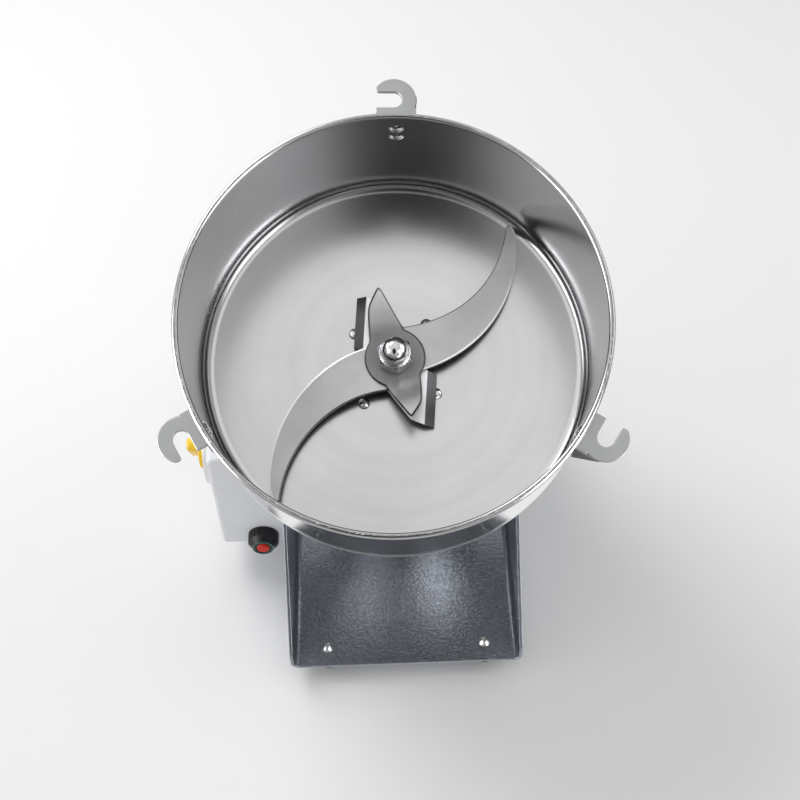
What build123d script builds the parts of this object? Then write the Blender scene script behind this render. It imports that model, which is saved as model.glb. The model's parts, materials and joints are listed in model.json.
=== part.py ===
from build123d import *
import os
from math import cos, radians, sin

os.makedirs("parts", exist_ok=True)

# A swing-type powder grinder: a drawn pot with its motor under it swings between two side plates.
# Millimetres. Origin on the ground under the swing axis, X to the right, Y to the back, Z up.
# Levels on the swinging head are measured along its own axis, upwards from the swing axis.

# Clearances
running = 0.05          # radial, between a pin and the bore it turns in
seat = 0.1              # between pieces of one body that sit against each other
gap = 0.3               # between pieces that move past each other

# Base bracket and feet
foot_height = 12.0
foot_radius = 8.5
foot_draft = 1.5        # how much smaller a foot is at the ground
foot_inset_x = 22.75    # foot's middle from the side plate's outer face
foot_inset_y = 13.0     # foot's middle from the front or rear end
foot_recess_radius = 5.0
foot_recess_depth = 6.0
base_length = 265.0
sheet = 2.0
bend_radius = 4.0
lip_height = 14.0       # upright front and rear ends of the side plates
lip_round = 9.0
axis_height = 137.0     # swing axis above the ground
apex_radius = 18.0      # rounded tops of the side plates

# Swing axis: pivot bolts, washers, nuts and bushes
pin_radius = 6.0
pin_end_gap = 1.0       # between a pin's end and the motor housing
bolt_head_width = 18.0  # across flats
bolt_head_height = 7.0
washer_radius = 12.0
washer_thickness = 2.0
pivot_nut_height = 5.0
bush_wall = 2.5
trunnion_boss_radius = 15.0
trunnion_reach = 11.45  # boss outwards from the motor housing
trunnion_pad = 46.0     # square pad on the motor housing
trunnion_pad_thickness = 4.0
trunnion_pad_round = 6.0
trunnion_screw_span = 32.0

# Grinding head and pot
tilt = 25.3             # the head's lean towards the front, in degrees
floor_level = 30.0      # the pot's floor
pot_radius = 115.0
pot_depth = 95.0
pot_wall = 1.5
pot_corner = 8.0
bead_reach = 2.0        # rolled rim, outwards from the wall
bead_height = 6.0
floor_screw_circle = 30.8
floor_screw_angle = 50.8

# Lid hooks, riveted to the pot
hook_angles = {"left": -152.7, "right": -32.7, "rear": 87.3}
hook_sheet = 2.5
hook_drop = 9.0         # from the rim down to a hook's underside
hook_half = 11.2
hook_strip = 7.9
hook_radius = 12.6
throat_radius = 4.65
throat_offset = 1.5
finger_round = 1.5
flange_height = 22.0
flange_width = 20.0
web_reach = 15.5        # folded web under a hook's closed side, outwards from the pot
rivet_radius = 2.4
rivet_head_radius = 4.4
rivet_head_height = 1.6
rivet_drop = 14.6       # from the rim down to the upper rivets
rivet_pitch = 10.6

# Motor
motor_radius = 54.0
motor_wall = 2.0
bracket_flange = 6.0
bracket_spigot = 8.5
housing_length = 100.5
end_cap_thickness = 6.0
end_cap_hub_radius = 19.0
end_cap_hub_height = 10.0
end_cap_round = 3.5
vent_count = 12
vent_width = 5.0
vent_length = 16.0
tie_bolt_circle = 45.5
tie_bolt_radius = 2.0
stator_low = -45.0
stator_length = 40.0
stator_yoke = 40.0      # inner radius of the yoke
pole_radius = 24.5
pole_span = 120.0
pole_neck_span = 58.0
pole_tip = 3.0
coil_span = 124.0
neck_slack = 2.0        # room in a coil for its pole, in degrees
coil_overhang = 6.0
air_gap = 0.5
armature_slots = 12
slot_width = 2.4
slot_depth = 8.0
winding_radius = 21.0
winding_height = 8.0
commutator_radius = 13.0
commutator_length = 12.0
commutator_bars = 12
bar_slit = 0.8
fan_radius = 40.0
fan_height = 9.0
fan_disc = 1.6
fan_blades = 10
fan_blade_thickness = 1.4
fan_hub_radius = 11.0
shaft_radius = 7.5
journal_radius = 5.0    # lower journal
upper_bearing_radius = 16.0
upper_bearing_width = 9.0
lower_bearing_radius = 15.0
lower_bearing_width = 9.0
brush_width = 6.0
brush_height = 8.0
brush_length = 21.0
holder_wall = 1.6
brush_cap_radius = 5.0
brush_cap_head_radius = 7.5
brush_cap_head_height = 2.6

# Shaft seal and blade stack
seal_radius = 15.7
seal_flange_radius = 18.0
seal_flange_height = 2.6
seal_depth = 2.5        # below the pot's floor sheet
shoulder_rise = 3.6     # the shaft's shoulder above the pot's floor
spacer_radius = 11.0
spacer_height = 3.9
thread_radius = 6.0     # upper end of the shaft, for the nut
hub_radius = 18.0
lower_blade_sheet = 2.0
main_blade_sheet = 3.0
upper_blade_sheet = 2.0
lock_washer_radius = 9.2
lock_washer_height = 1.5
nut_width = 19.0        # across flats
nut_height = 10.0
nut_dome_radius = 8.4
nut_thread_depth = 15.0
nut_crown = 12.0        # dome above the hexagon
nut_angle = -22.4       # how far the tightened nut stands turned

# Main blade: each arm lies between two arcs and curves down towards the floor
arm_back_radius = 81.4
arm_back_centre = (-5.5, 70.9)
arm_edge_radius = 70.8
arm_edge_centre = (-0.2, 89.7)
arm_tip_radius = 109.5
arm_tip_round = 4.0
arm_drop = 4.0
arm_curve_start = 20.0
arm_curve_end = 75.0
arm_heading = 20.0      # direction in which the arms curve down, in degrees

# Upper blade: two pointed wings, bent upwards
wing_root_front = (-14.8, 10.7)
wing_shoulder = (-15.4, 28.6)
wing_tip = (-8.1, 40.3)
wing_root_back = (5.9, 17.6)
wing_heading = 101.8
wing_bend_start = 12.0
wing_bend_end = 26.0
wing_rise_angle = 36.0
wing_tip_round = 1.6

# Lower blade: two wings with a flap bent down along one edge
flap_fold = 19.1        # fold line's distance from the axis
flap_heading = -5.2
flap_reach = 6.1
flap_drop_angle = 38.0
flap_root = 6.8
flap_end = 38.4
lower_wing_tip = (11.2, -35.7)
lower_wing_root = (-7.0, -15.0)

# Control box on the left side plate
box_width = 46.0
box_half_length = 45.0
box_low = 24.0
box_high = 116.0
box_sheet = 1.5
box_round = 3.0
box_tab = 13.0
box_screw_inset = 8.0

# Timer
dial_y = -14.0
dial_z = 91.0
dial_radius = 24.0
dial_thickness = 4.0
dial_round = 1.2
timer_length = 36.0
timer_height = 40.0
timer_depth = 24.0
timer_bush_radius = 5.0
timer_nut_width = 14.0
timer_nut_height = 2.5
timer_shaft_radius = 3.0
knob_gap = 0.5          # between the dial and the knob's skirt
knob_skirt_radius = 14.0
knob_skirt_height = 3.5
knob_grip_length = 26.0
knob_grip_width = 10.0
knob_grip_height = 7.4
knob_recess_radius = 9.5
knob_recess_depth = 2.7
knob_angle = -28.0      # where the timer stands, turned from the top towards the front

# Overload breaker
breaker_inset = 27.75   # breaker's middle from the box's left face
breaker_rise = 9.3      # breaker's middle above the box's underside
breaker_width = 16.0
breaker_height = 12.0
breaker_depth = 30.0
neck_radius = 5.7
neck_length = 10.0
collar_radius = 10.0
collar_length = 6.4
collar_nose = 3.6
collar_nose_radius = 7.0
collar_flutes = 24
flute_radius = 0.35
button_radius = 4.1
button_length = 9.0
button_out = 1.5        # how far the button stands out of its neck
button_dome = 1.3
button_bore_depth = 10.5
ring_width = 0.8
ring_height = 0.8

# Cable gland on the control box's rear face
gland_inset = 23.0
gland_rise = 22.0
gland_bore = 4.0
gland_thread_radius = 7.8
gland_thread_length = 8.0
gland_hex_width = 20.0
gland_hex_height = 6.0
gland_nut_radius = 9.4
gland_nut_tip_radius = 6.8
gland_nut_length = 13.0
gland_spigot_radius = 6.0
gland_spigot_length = 8.0

# Screws
screw_radius = 2.0
screw_head = 3.5
screw_rise = 2.4
floor_screw_rise = 1.8

# Levels and places worked out from the sizes above
plate_low = foot_height
plate_top = plate_low + sheet
trunnion_face = motor_radius + trunnion_reach
side_inner = trunnion_face + gap + pivot_nut_height
side_outer = side_inner + sheet
base_width = 2 * side_outer
foot_span_x = base_width - 2 * foot_inset_x
foot_span_y = base_length - 2 * foot_inset_y
rim_level = floor_level + pot_depth
pot_outer = pot_radius + pot_wall
bead_radius = pot_outer + bead_reach
pot_under = floor_level - pot_wall
bracket_step = pot_under - bracket_flange
bracket_low = bracket_step - bracket_spigot
housing_low = bracket_step - housing_length
cap_low = housing_low - end_cap_thickness
upper_bearing_low = bracket_low + seat
upper_bearing_high = upper_bearing_low + upper_bearing_width
lower_bearing_low = housing_low + seat
lower_bearing_high = lower_bearing_low + lower_bearing_width
stator_high = stator_low + stator_length
stator_mid = stator_low + stator_length / 2
winding_low = stator_low - winding_height
commutator_high = winding_low - gap
commutator_low = commutator_high - commutator_length
brush_level = commutator_high - commutator_length / 2
fan_high = bracket_low - gap
fan_low = fan_high - fan_height
shoulder_level = floor_level + shoulder_rise
lower_blade_low = shoulder_level + spacer_height
main_blade_low = lower_blade_low + lower_blade_sheet
upper_blade_low = main_blade_low + main_blade_sheet
washer_low = upper_blade_low + upper_blade_sheet
nut_low = washer_low + lock_washer_height
hook_level = rim_level - hook_drop
box_left = -side_outer - box_width
breaker_x = box_left + breaker_inset
breaker_z = box_low + breaker_rise
gland_x = box_left + gland_inset
gland_z = box_low + gland_rise
tie_bolt_angle = 45.0
brush_angle = 90.0

# Planes of the head: across its axis, and through its axis for turned pieces
lean = radians(tilt)
head = Plane(origin=(0, 0, axis_height), x_dir=(1, 0, 0), z_dir=(0, -sin(lean), cos(lean)))
head_axis = Axis(head.origin, head.z_dir)
trunnion_plane = Plane(origin=head.origin, x_dir=head.y_dir, z_dir=head.x_dir)
swing_plane = Plane(origin=(0, 0, axis_height), x_dir=(0, 1, 0), z_dir=(1, 0, 0))
dial_plane = Plane(origin=(box_left, dial_y, dial_z), x_dir=(0, -1, 0), z_dir=(-1, 0, 0))
breaker_plane = Plane(origin=(breaker_x, -box_half_length, breaker_z), x_dir=(1, 0, 0), z_dir=(0, -1, 0))
gland_plane = Plane(origin=(gland_x, box_half_length, gland_z), x_dir=(-1, 0, 0), z_dir=(0, 1, 0))
LOW = (Align.CENTER, Align.CENTER, Align.MIN)


def turned(plane, angle):
    """A plane turned about its own normal."""
    return Plane(plane.location * Rotation(0, 0, angle))


def at_angle(angle, level):
    """The head's plane at a level, turned so that its X points outwards at an angle."""
    return turned(head, angle).offset(level)


def outwards(angle, level):
    """A plane on the head's axis that faces outwards at an angle, with its Y along the axis."""
    flat = at_angle(angle, level)
    return Plane(origin=flat.origin, x_dir=flat.y_dir, z_dir=flat.x_dir)


def across(angle, level):
    """A plane through the head's axis whose X points outwards at an angle and whose Y is the axis."""
    flat = at_angle(angle, level)
    return Plane(origin=flat.origin, x_dir=flat.x_dir, z_dir=-flat.y_dir)


def band(inner, outer, low, high):
    """Rectangle between two radii and two levels, drawn in the active turning sketch."""
    with Locations((inner, low)):
        Rectangle(outer - inner, high - low, align=Align.MIN)


def near(sketch, *points):
    """The corner of a sketch nearest to each point."""
    return [sketch.vertices().sort_by_distance(point)[0] for point in points]


def dome_screw(length, rise=screw_rise, shank=screw_radius, head=screw_head):
    """A domed screw along Z with its head standing on Z = 0 and a cross recess in its top."""
    recess_width = head * 0.3
    recess_depth = rise * 0.45
    with BuildPart() as screw:
        with BuildSketch(Plane.XZ):
            with BuildLine():
                crown = TangentArc((0, rise), (head, 0), tangent=(1, 0))
                Polyline(crown @ 1, (shank, 0), (shank, -length), (0, -length), crown @ 0)
            make_face()
        revolve(axis=Axis.Z)
        with Locations((0, 0, rise - recess_depth)):
            Box(recess_width, head, rise, align=LOW, mode=Mode.SUBTRACT)
            Box(head, recess_width, rise, align=LOW, mode=Mode.SUBTRACT)
    return screw.part


head_section = across(0, 0)

# Base bracket: a bent channel, trimmed to the outline of its side plates
with BuildPart() as base_bracket:
    with BuildSketch(Plane.XZ) as channel:
        with Locations((0, plate_low)):
            Rectangle(base_width, axis_height + apex_radius, align=(Align.CENTER, Align.MIN))
        fillet(near(channel, (-side_outer, plate_low), (side_outer, plate_low)), bend_radius + sheet)
        with BuildSketch(mode=Mode.SUBTRACT) as inside:
            with Locations((0, plate_top)):
                Rectangle(2 * side_inner, axis_height + apex_radius, align=(Align.CENTER, Align.MIN))
            fillet(near(inside, (-side_inner, plate_top), (side_inner, plate_top)), bend_radius)
    extrude(amount=base_length / 2, both=True)
    with BuildSketch(Plane.YZ) as side_outline:
        with Locations((0, axis_height)):
            Circle(apex_radius)
        with Locations((0, plate_low)):
            Rectangle(base_length, lip_height, align=(Align.CENTER, Align.MIN))
        make_hull()
        lip_top = plate_low + lip_height
        fillet(near(side_outline, (-base_length / 2, lip_top), (base_length / 2, lip_top)), lip_round)
    extrude(amount=base_width, both=True, mode=Mode.INTERSECT)
    with GridLocations(foot_span_x, foot_span_y, 2, 2):
        Cylinder(screw_radius + seat, 2 * plate_top, mode=Mode.SUBTRACT)
    with Locations(swing_plane):
        Cylinder(pin_radius + seat, 2 * base_width, mode=Mode.SUBTRACT)
    box_middle = (box_low + box_high) / 2
    box_screw_y = 2 * (box_half_length - box_screw_inset)
    box_screw_z = box_high - box_low - 2 * box_screw_inset
    side_plane = Plane(origin=(-side_inner, 0, box_middle), x_dir=(0, 1, 0), z_dir=(1, 0, 0))
    with Locations(side_plane):
        with GridLocations(box_screw_y, box_screw_z, 2, 2):
            Cylinder(screw_radius + seat, 4 * sheet, mode=Mode.SUBTRACT)
base_bracket.part.label = "base_bracket"
export_step(base_bracket.part, "parts/base_bracket.step")

# Rubber feet, each with a recess for its nut
with BuildPart() as rubber_feet:
    with GridLocations(foot_span_x, foot_span_y, 2, 2):
        Cone(foot_radius - foot_draft, foot_radius, foot_height, align=LOW)
        Cylinder(foot_recess_radius, foot_recess_depth, align=LOW, mode=Mode.SUBTRACT)
        Cylinder(screw_radius + seat, 2 * foot_height, mode=Mode.SUBTRACT)
rubber_feet.part.label = "rubber_feet"
export_step(rubber_feet.part, "parts/rubber_feet.step")

foot_nut_height = 3.2
foot_nut_width = 7.0
foot_screw = dome_screw(length=plate_top - foot_recess_depth + foot_nut_height)
with BuildPart() as foot_screws:
    with Locations(Plane.XY.offset(plate_top)):
        with GridLocations(foot_span_x, foot_span_y, 2, 2):
            add(foot_screw)
foot_screws.part.label = "foot_screws"
export_step(foot_screws.part, "parts/foot_screws.step")

with BuildPart() as foot_nuts:
    with BuildSketch(Plane.XY.offset(foot_recess_depth)):
        with GridLocations(foot_span_x, foot_span_y, 2, 2):
            RegularPolygon(foot_nut_width / 2, 6, major_radius=False)
            Circle(screw_radius + running, mode=Mode.SUBTRACT)
    extrude(amount=-foot_nut_height)
foot_nuts.part.label = "foot_nuts"
export_step(foot_nuts.part, "parts/foot_nuts.step")

# Pivot bolts: hexagon heads outside the side plates, plain pins in the head's bushes
pin_end = motor_radius + pin_end_gap
head_seat = side_outer + washer_thickness
with BuildPart() as pivot_bolts:
    with BuildSketch(swing_plane.offset(pin_end)):
        Circle(pin_radius)
    extrude(amount=head_seat - pin_end)
    with BuildSketch(swing_plane.offset(head_seat)):
        RegularPolygon(bolt_head_width / 2, 6, major_radius=False)
    extrude(amount=bolt_head_height)
    chamfer(pivot_bolts.edges().group_by(Axis.X)[-1], bolt_head_height * 0.1)
    mirror(about=Plane.YZ)
pivot_bolts.part.label = "pivot_bolts"
export_step(pivot_bolts.part, "parts/pivot_bolts.step")

with BuildPart() as pivot_washers:
    with BuildSketch(swing_plane.offset(side_outer)):
        Circle(washer_radius)
        Circle(pin_radius + seat, mode=Mode.SUBTRACT)
    extrude(amount=washer_thickness)
    mirror(about=Plane.YZ)
pivot_washers.part.label = "pivot_washers"
export_step(pivot_washers.part, "parts/pivot_washers.step")

with BuildPart() as pivot_nuts:
    with BuildSketch(swing_plane.offset(side_inner - pivot_nut_height)):
        RegularPolygon(bolt_head_width / 2, 6, major_radius=False)
        Circle(pin_radius + running, mode=Mode.SUBTRACT)
    extrude(amount=pivot_nut_height)
    mirror(about=Plane.YZ)
pivot_nuts.part.label = "pivot_nuts"
export_step(pivot_nuts.part, "parts/pivot_nuts.step")

# Control box: a five-sided folded box with corner tabs against the side plate
box_height = box_high - box_low
with BuildPart() as control_box:
    with Locations((box_left, 0, box_middle)):
        Box(box_width, 2 * box_half_length, box_height, align=(Align.MIN, Align.CENTER, Align.CENTER))
    open_face = control_box.faces().sort_by(Axis.X)[-1]
    outer_edges = control_box.edges() - open_face.edges()
    fillet(outer_edges, box_round)
    offset(amount=-box_sheet, openings=control_box.faces().sort_by(Axis.X)[-1])
    tab_y = 2 * box_half_length - box_tab
    tab_z = box_height - box_tab
    with Locations(Plane(origin=(-side_outer, 0, box_middle), x_dir=(0, 1, 0), z_dir=(1, 0, 0))):
        with GridLocations(tab_y, tab_z, 2, 2):
            Box(box_tab, box_tab, box_sheet, align=(Align.CENTER, Align.CENTER, Align.MAX))
        with GridLocations(box_screw_y, box_screw_z, 2, 2):
            Cylinder(screw_radius + running, 4 * box_sheet, mode=Mode.SUBTRACT)
    with Locations((box_left, 0, box_middle)):
        Box(box_width, 2 * box_half_length, box_height, mode=Mode.INTERSECT,
            align=(Align.MIN, Align.CENTER, Align.CENTER))
    with Locations(dial_plane):
        Cylinder(timer_bush_radius + seat, 4 * box_sheet, mode=Mode.SUBTRACT)
    with Locations(breaker_plane):
        Cylinder(neck_radius + seat, 4 * box_sheet, mode=Mode.SUBTRACT)
    with Locations(gland_plane):
        Cylinder(gland_thread_radius + seat, 4 * box_sheet, mode=Mode.SUBTRACT)
control_box.part.label = "control_box"
export_step(control_box.part, "parts/control_box.step")

box_screw = dome_screw(length=sheet + 2 * box_sheet)
with BuildPart() as box_screws:
    with Locations(side_plane):
        with GridLocations(box_screw_y, box_screw_z, 2, 2):
            add(box_screw)
box_screws.part.label = "box_screws"
export_step(box_screws.part, "parts/box_screws.step")

# Timer: clockwork case with a threaded bush through the box, and its nut over the dial
nut_seat = dial_thickness
with BuildPart() as timer_body:
    with Locations(dial_plane.offset(-box_sheet)):
        Box(timer_length, timer_height, timer_depth, align=(Align.CENTER, Align.CENTER, Align.MAX))
    fillet(timer_body.edges().filter_by(Axis.X), box_round)
    with BuildSketch(dial_plane.offset(-box_sheet)):
        Circle(timer_bush_radius)
    extrude(amount=box_sheet + nut_seat + timer_nut_height)
    with BuildSketch(dial_plane.offset(-timer_depth / 2)):
        Circle(timer_shaft_radius + running)
    extrude(amount=timer_depth + nut_seat, mode=Mode.SUBTRACT)
timer_body.part.label = "timer_body"
export_step(timer_body.part, "parts/timer_body.step")

with BuildPart() as timer_dial:
    with BuildSketch(dial_plane):
        Circle(dial_radius)
        Circle(timer_bush_radius + seat, mode=Mode.SUBTRACT)
    extrude(amount=dial_thickness)
    fillet(timer_dial.edges().group_by(Axis.X)[0].sort_by(SortBy.RADIUS)[-1], dial_round)
timer_dial.part.label = "timer_dial"
export_step(timer_dial.part, "parts/timer_dial.step")

with BuildPart() as timer_nut:
    with BuildSketch(dial_plane.offset(nut_seat)):
        RegularPolygon(timer_nut_width / 2, 6, major_radius=False)
        Circle(timer_bush_radius + running, mode=Mode.SUBTRACT)
    extrude(amount=timer_nut_height)
timer_nut.part.label = "timer_nut"
export_step(timer_nut.part, "parts/timer_nut.step")

# Timer knob: a round skirt with a bar grip, on the timer's shaft
knob_low = dial_thickness + knob_gap
knob_top = knob_low + knob_skirt_height
knob_plane = turned(dial_plane, knob_angle)
shaft_grip = knob_grip_height * 0.6
with BuildPart() as timer_knob:
    with BuildSketch(knob_plane.offset(knob_low)):
        Circle(knob_skirt_radius)
    extrude(amount=knob_skirt_height)
    fillet(timer_knob.edges().group_by(Axis.X)[0], knob_skirt_height * 0.3)
    with BuildSketch(knob_plane.offset(knob_top - knob_skirt_height / 2)):
        SlotOverall(knob_grip_length, knob_grip_width, rotation=90)
    extrude(amount=knob_grip_height + knob_skirt_height / 2, taper=4)
    fillet(timer_knob.edges().group_by(Axis.X)[0], knob_grip_width * 0.18)
    with BuildSketch(knob_plane.offset(knob_low)):
        Circle(knob_recess_radius)
    extrude(amount=knob_recess_depth, mode=Mode.SUBTRACT)
    with BuildSketch(knob_plane.offset(knob_low)):
        Circle(timer_shaft_radius + running)
    extrude(amount=knob_skirt_height + shaft_grip, mode=Mode.SUBTRACT)
timer_knob.part.label = "timer_knob"
export_step(timer_knob.part, "parts/timer_knob.step")

with BuildPart() as timer_shaft:
    with BuildSketch(dial_plane.offset(gap - timer_depth / 2)):
        Circle(timer_shaft_radius)
    extrude(amount=timer_depth / 2 + knob_top + shaft_grip - 2 * gap)
timer_shaft.part.label = "timer_shaft"
export_step(timer_shaft.part, "parts/timer_shaft.step")

# Overload breaker: case and neck, fluted collar nut, ring and reset button
with BuildPart() as breaker_body:
    with Locations(breaker_plane.offset(-box_sheet)):
        Box(breaker_width, breaker_height, breaker_depth, align=(Align.CENTER, Align.CENTER, Align.MAX))
    fillet(breaker_body.edges().filter_by(Axis.Y), box_round / 2)
    with BuildSketch(breaker_plane.offset(-box_sheet)):
        Circle(neck_radius)
    extrude(amount=box_sheet + neck_length)
    with BuildSketch(breaker_plane.offset(neck_length)):
        Circle(button_radius + running)
    extrude(amount=-button_bore_depth, mode=Mode.SUBTRACT)
breaker_body.part.label = "breaker_body"
export_step(breaker_body.part, "parts/breaker_body.step")

with BuildPart() as breaker_collar:
    with BuildSketch(breaker_plane):
        Circle(collar_radius)
        with PolarLocations(collar_radius, collar_flutes):
            Circle(flute_radius, mode=Mode.SUBTRACT)
    extrude(amount=collar_length)
    with Locations(breaker_plane.offset(collar_length)):
        Cone(collar_radius - flute_radius, collar_nose_radius, collar_nose, align=LOW)
    with Locations(breaker_plane):
        Cylinder(neck_radius + running, 4 * collar_length, mode=Mode.SUBTRACT)
breaker_collar.part.label = "breaker_collar"
export_step(breaker_collar.part, "parts/breaker_collar.step")

with BuildPart() as button_ring:
    with BuildSketch(breaker_plane.offset(collar_length + collar_nose)):
        Circle(collar_nose_radius - seat)
        Circle(collar_nose_radius - seat - ring_width, mode=Mode.SUBTRACT)
    extrude(amount=ring_height)
button_ring.part.label = "button_ring"
export_step(button_ring.part, "parts/button_ring.step")

with BuildPart() as reset_button:
    with BuildSketch(breaker_plane.offset(neck_length + button_out)):
        Circle(button_radius)
    extrude(amount=-button_length)
    fillet(reset_button.edges().group_by(Axis.Y)[0], button_dome)
reset_button.part.label = "reset_button"
export_step(reset_button.part, "parts/reset_button.step")

# Cable gland: hexagon body through the rear face and its domed compression nut
with BuildPart() as cable_gland:
    with BuildSketch(gland_plane):
        RegularPolygon(gland_hex_width / 2, 6, major_radius=False)
    extrude(amount=gland_hex_height)
    with BuildSketch(gland_plane):
        Circle(gland_thread_radius)
    extrude(amount=-gland_thread_length)
    with BuildSketch(gland_plane.offset(gland_hex_height)):
        Circle(gland_spigot_radius)
    extrude(amount=gland_spigot_length)
    with Locations(gland_plane):
        Cylinder(gland_bore, 8 * gland_thread_length, mode=Mode.SUBTRACT)
cable_gland.part.label = "cable_gland"
export_step(cable_gland.part, "parts/cable_gland.step")

with BuildPart() as gland_nut:
    with Locations(gland_plane.offset(gland_hex_height + gap)):
        Cone(gland_nut_radius, gland_nut_tip_radius, gland_nut_length, align=LOW)
        Cylinder(gland_spigot_radius + seat, gland_spigot_length, align=LOW, mode=Mode.SUBTRACT)
        Cylinder(gland_bore, 4 * gland_nut_length, mode=Mode.SUBTRACT)
    fillet(gland_nut.edges().group_by(Axis.Y)[-1].sort_by(SortBy.RADIUS)[-1], gland_nut_tip_radius * 0.2)
gland_nut.part.label = "gland_nut"
export_step(gland_nut.part, "parts/gland_nut.step")

# Pot: drawn bowl with a rolled rim
rivet_levels = (rim_level - rivet_drop, rim_level - rivet_drop - rivet_pitch)
with BuildPart() as pot:
    with BuildSketch(head_section) as bowl:
        Polygon(
            (seal_radius + seat, floor_level),
            (pot_radius, floor_level),
            (pot_radius, rim_level),
            (bead_radius, rim_level),
            (bead_radius, rim_level - bead_height),
            (pot_outer, rim_level - bead_height),
            (pot_outer, pot_under),
            (seal_radius + seat, pot_under),
            align=None,
        )
        fillet(near(bowl, (pot_radius, floor_level)), pot_corner)
        fillet(near(bowl, (pot_outer, pot_under)), pot_corner + pot_wall)
        bead_corners = near(bowl, (pot_radius, rim_level), (bead_radius, rim_level))
        fillet(bead_corners, (bead_radius - pot_radius) * 0.45)
        fillet(near(bowl, (bead_radius, rim_level - bead_height)), bead_reach * 0.7)
    revolve(axis=head_axis)
    with Locations(head.offset(floor_level)):
        with PolarLocations(floor_screw_circle, 4, start_angle=floor_screw_angle):
            Cylinder(screw_radius + seat, 4 * pot_wall, mode=Mode.SUBTRACT)
    for angle in hook_angles.values():
        for level in rivet_levels:
            with Locations(outwards(angle, level).offset(pot_radius)):
                Cylinder(rivet_radius + running, 4 * pot_wall, mode=Mode.SUBTRACT)
pot.part.label = "pot"
export_step(pot.part, "parts/pot.step")

# Lid hooks: a flat hook with a round throat, a web folded down, and a curved flange riveted to the pot
throat_centre = (pot_outer + hook_radius, throat_offset)
wall_seat = pot_outer + seat
for side, angle in hook_angles.items():
    with BuildPart() as lid_hook:
        with BuildSketch(at_angle(angle, hook_level)) as hook_outline:
            with Locations(throat_centre):
                Circle(hook_radius)
            with Locations((pot_radius, 0)):
                Rectangle(pot_wall + hook_strip, 2 * hook_half, align=(Align.MIN, Align.CENTER))
            with Locations(throat_centre):
                Circle(throat_radius, mode=Mode.SUBTRACT)
                Rectangle(2 * throat_radius, 2 * hook_radius, mode=Mode.SUBTRACT,
                          align=(Align.CENTER, Align.MIN))
            with Locations((pot_radius, 0)):
                Rectangle(4 * hook_radius, 2 * hook_half, mode=Mode.INTERSECT,
                          align=(Align.MIN, Align.CENTER))
            finger = throat_centre[0] + throat_radius
            fillet(near(hook_outline, (finger, hook_half), (2 * finger, hook_half)), finger_round)
            Circle(wall_seat, mode=Mode.SUBTRACT)
        extrude(amount=hook_sheet)
        with BuildSketch(at_angle(angle, hook_level - flange_height)):
            Circle(wall_seat + hook_sheet)
            Circle(wall_seat, mode=Mode.SUBTRACT)
            with Locations((pot_radius, 0)):
                Rectangle(hook_radius, flange_width, mode=Mode.INTERSECT)
        extrude(amount=flange_height + hook_sheet)
        with BuildSketch(across(angle, hook_level).offset(hook_half - hook_sheet)):
            web_root = wall_seat + hook_sheet / 2
            Polygon((web_root, hook_sheet / 2), (pot_outer + web_reach, hook_sheet / 2),
                    (pot_outer + web_reach, 0), (web_root, -flange_height), align=None)
        extrude(amount=hook_sheet)
        for level in rivet_levels:
            with Locations(outwards(angle, level).offset(wall_seat)):
                Cylinder(rivet_radius + running, 4 * hook_sheet, mode=Mode.SUBTRACT)
    lid_hook.part.label = f"lid_hook_{side}"
    export_step(lid_hook.part, f"parts/lid_hook_{side}.step")

# Rivets: a shank through pot and flange with a low dome on both ends
rivet_low = pot_radius - seat
rivet_high = wall_seat + hook_sheet + seat
with BuildPart() as rivet:
    with BuildSketch(Plane.XZ):
        with BuildLine():
            inner_dome = TangentArc((0, rivet_low - rivet_head_height), (rivet_head_radius, rivet_low),
                                    tangent=(1, 0))
            outer_dome = TangentArc((0, rivet_high + rivet_head_height), (rivet_head_radius, rivet_high),
                                    tangent=(1, 0))
            Polyline(inner_dome @ 1, (rivet_radius, rivet_low), (rivet_radius, rivet_high), outer_dome @ 1)
            Line(inner_dome @ 0, outer_dome @ 0)
        make_face()
    revolve(axis=Axis.Z)
with BuildPart() as hook_rivets:
    for angle in hook_angles.values():
        for level in rivet_levels:
            with Locations(outwards(angle, level)):
                add(rivet.part)
hook_rivets.part.label = "hook_rivets"
export_step(hook_rivets.part, "parts/hook_rivets.step")

# Screws in the pot's floor, into the motor's top bracket
floor_screw_length = pot_wall + bracket_flange
with BuildPart() as floor_screws:
    with Locations(head.offset(floor_level)):
        with PolarLocations(floor_screw_circle, 4, start_angle=floor_screw_angle):
            add(dome_screw(length=floor_screw_length, rise=floor_screw_rise))
floor_screws.part.label = "floor_screws"
export_step(floor_screws.part, "parts/floor_screws.step")

# Shaft seal: a rubber ring in the floor, with a flange inside the pot
seal_low = pot_under - seal_depth
with BuildPart() as shaft_seal:
    with BuildSketch(head_section) as seal_profile:
        band(shaft_radius + gap, seal_radius, seal_low, floor_level)
        band(shaft_radius + gap, seal_flange_radius, floor_level, floor_level + seal_flange_height)
        fillet(near(seal_profile, (seal_flange_radius, floor_level + seal_flange_height)),
               seal_flange_height * 0.6)
    revolve(axis=head_axis)
shaft_seal.part.label = "shaft_seal"
export_step(shaft_seal.part, "parts/shaft_seal.step")

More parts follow.
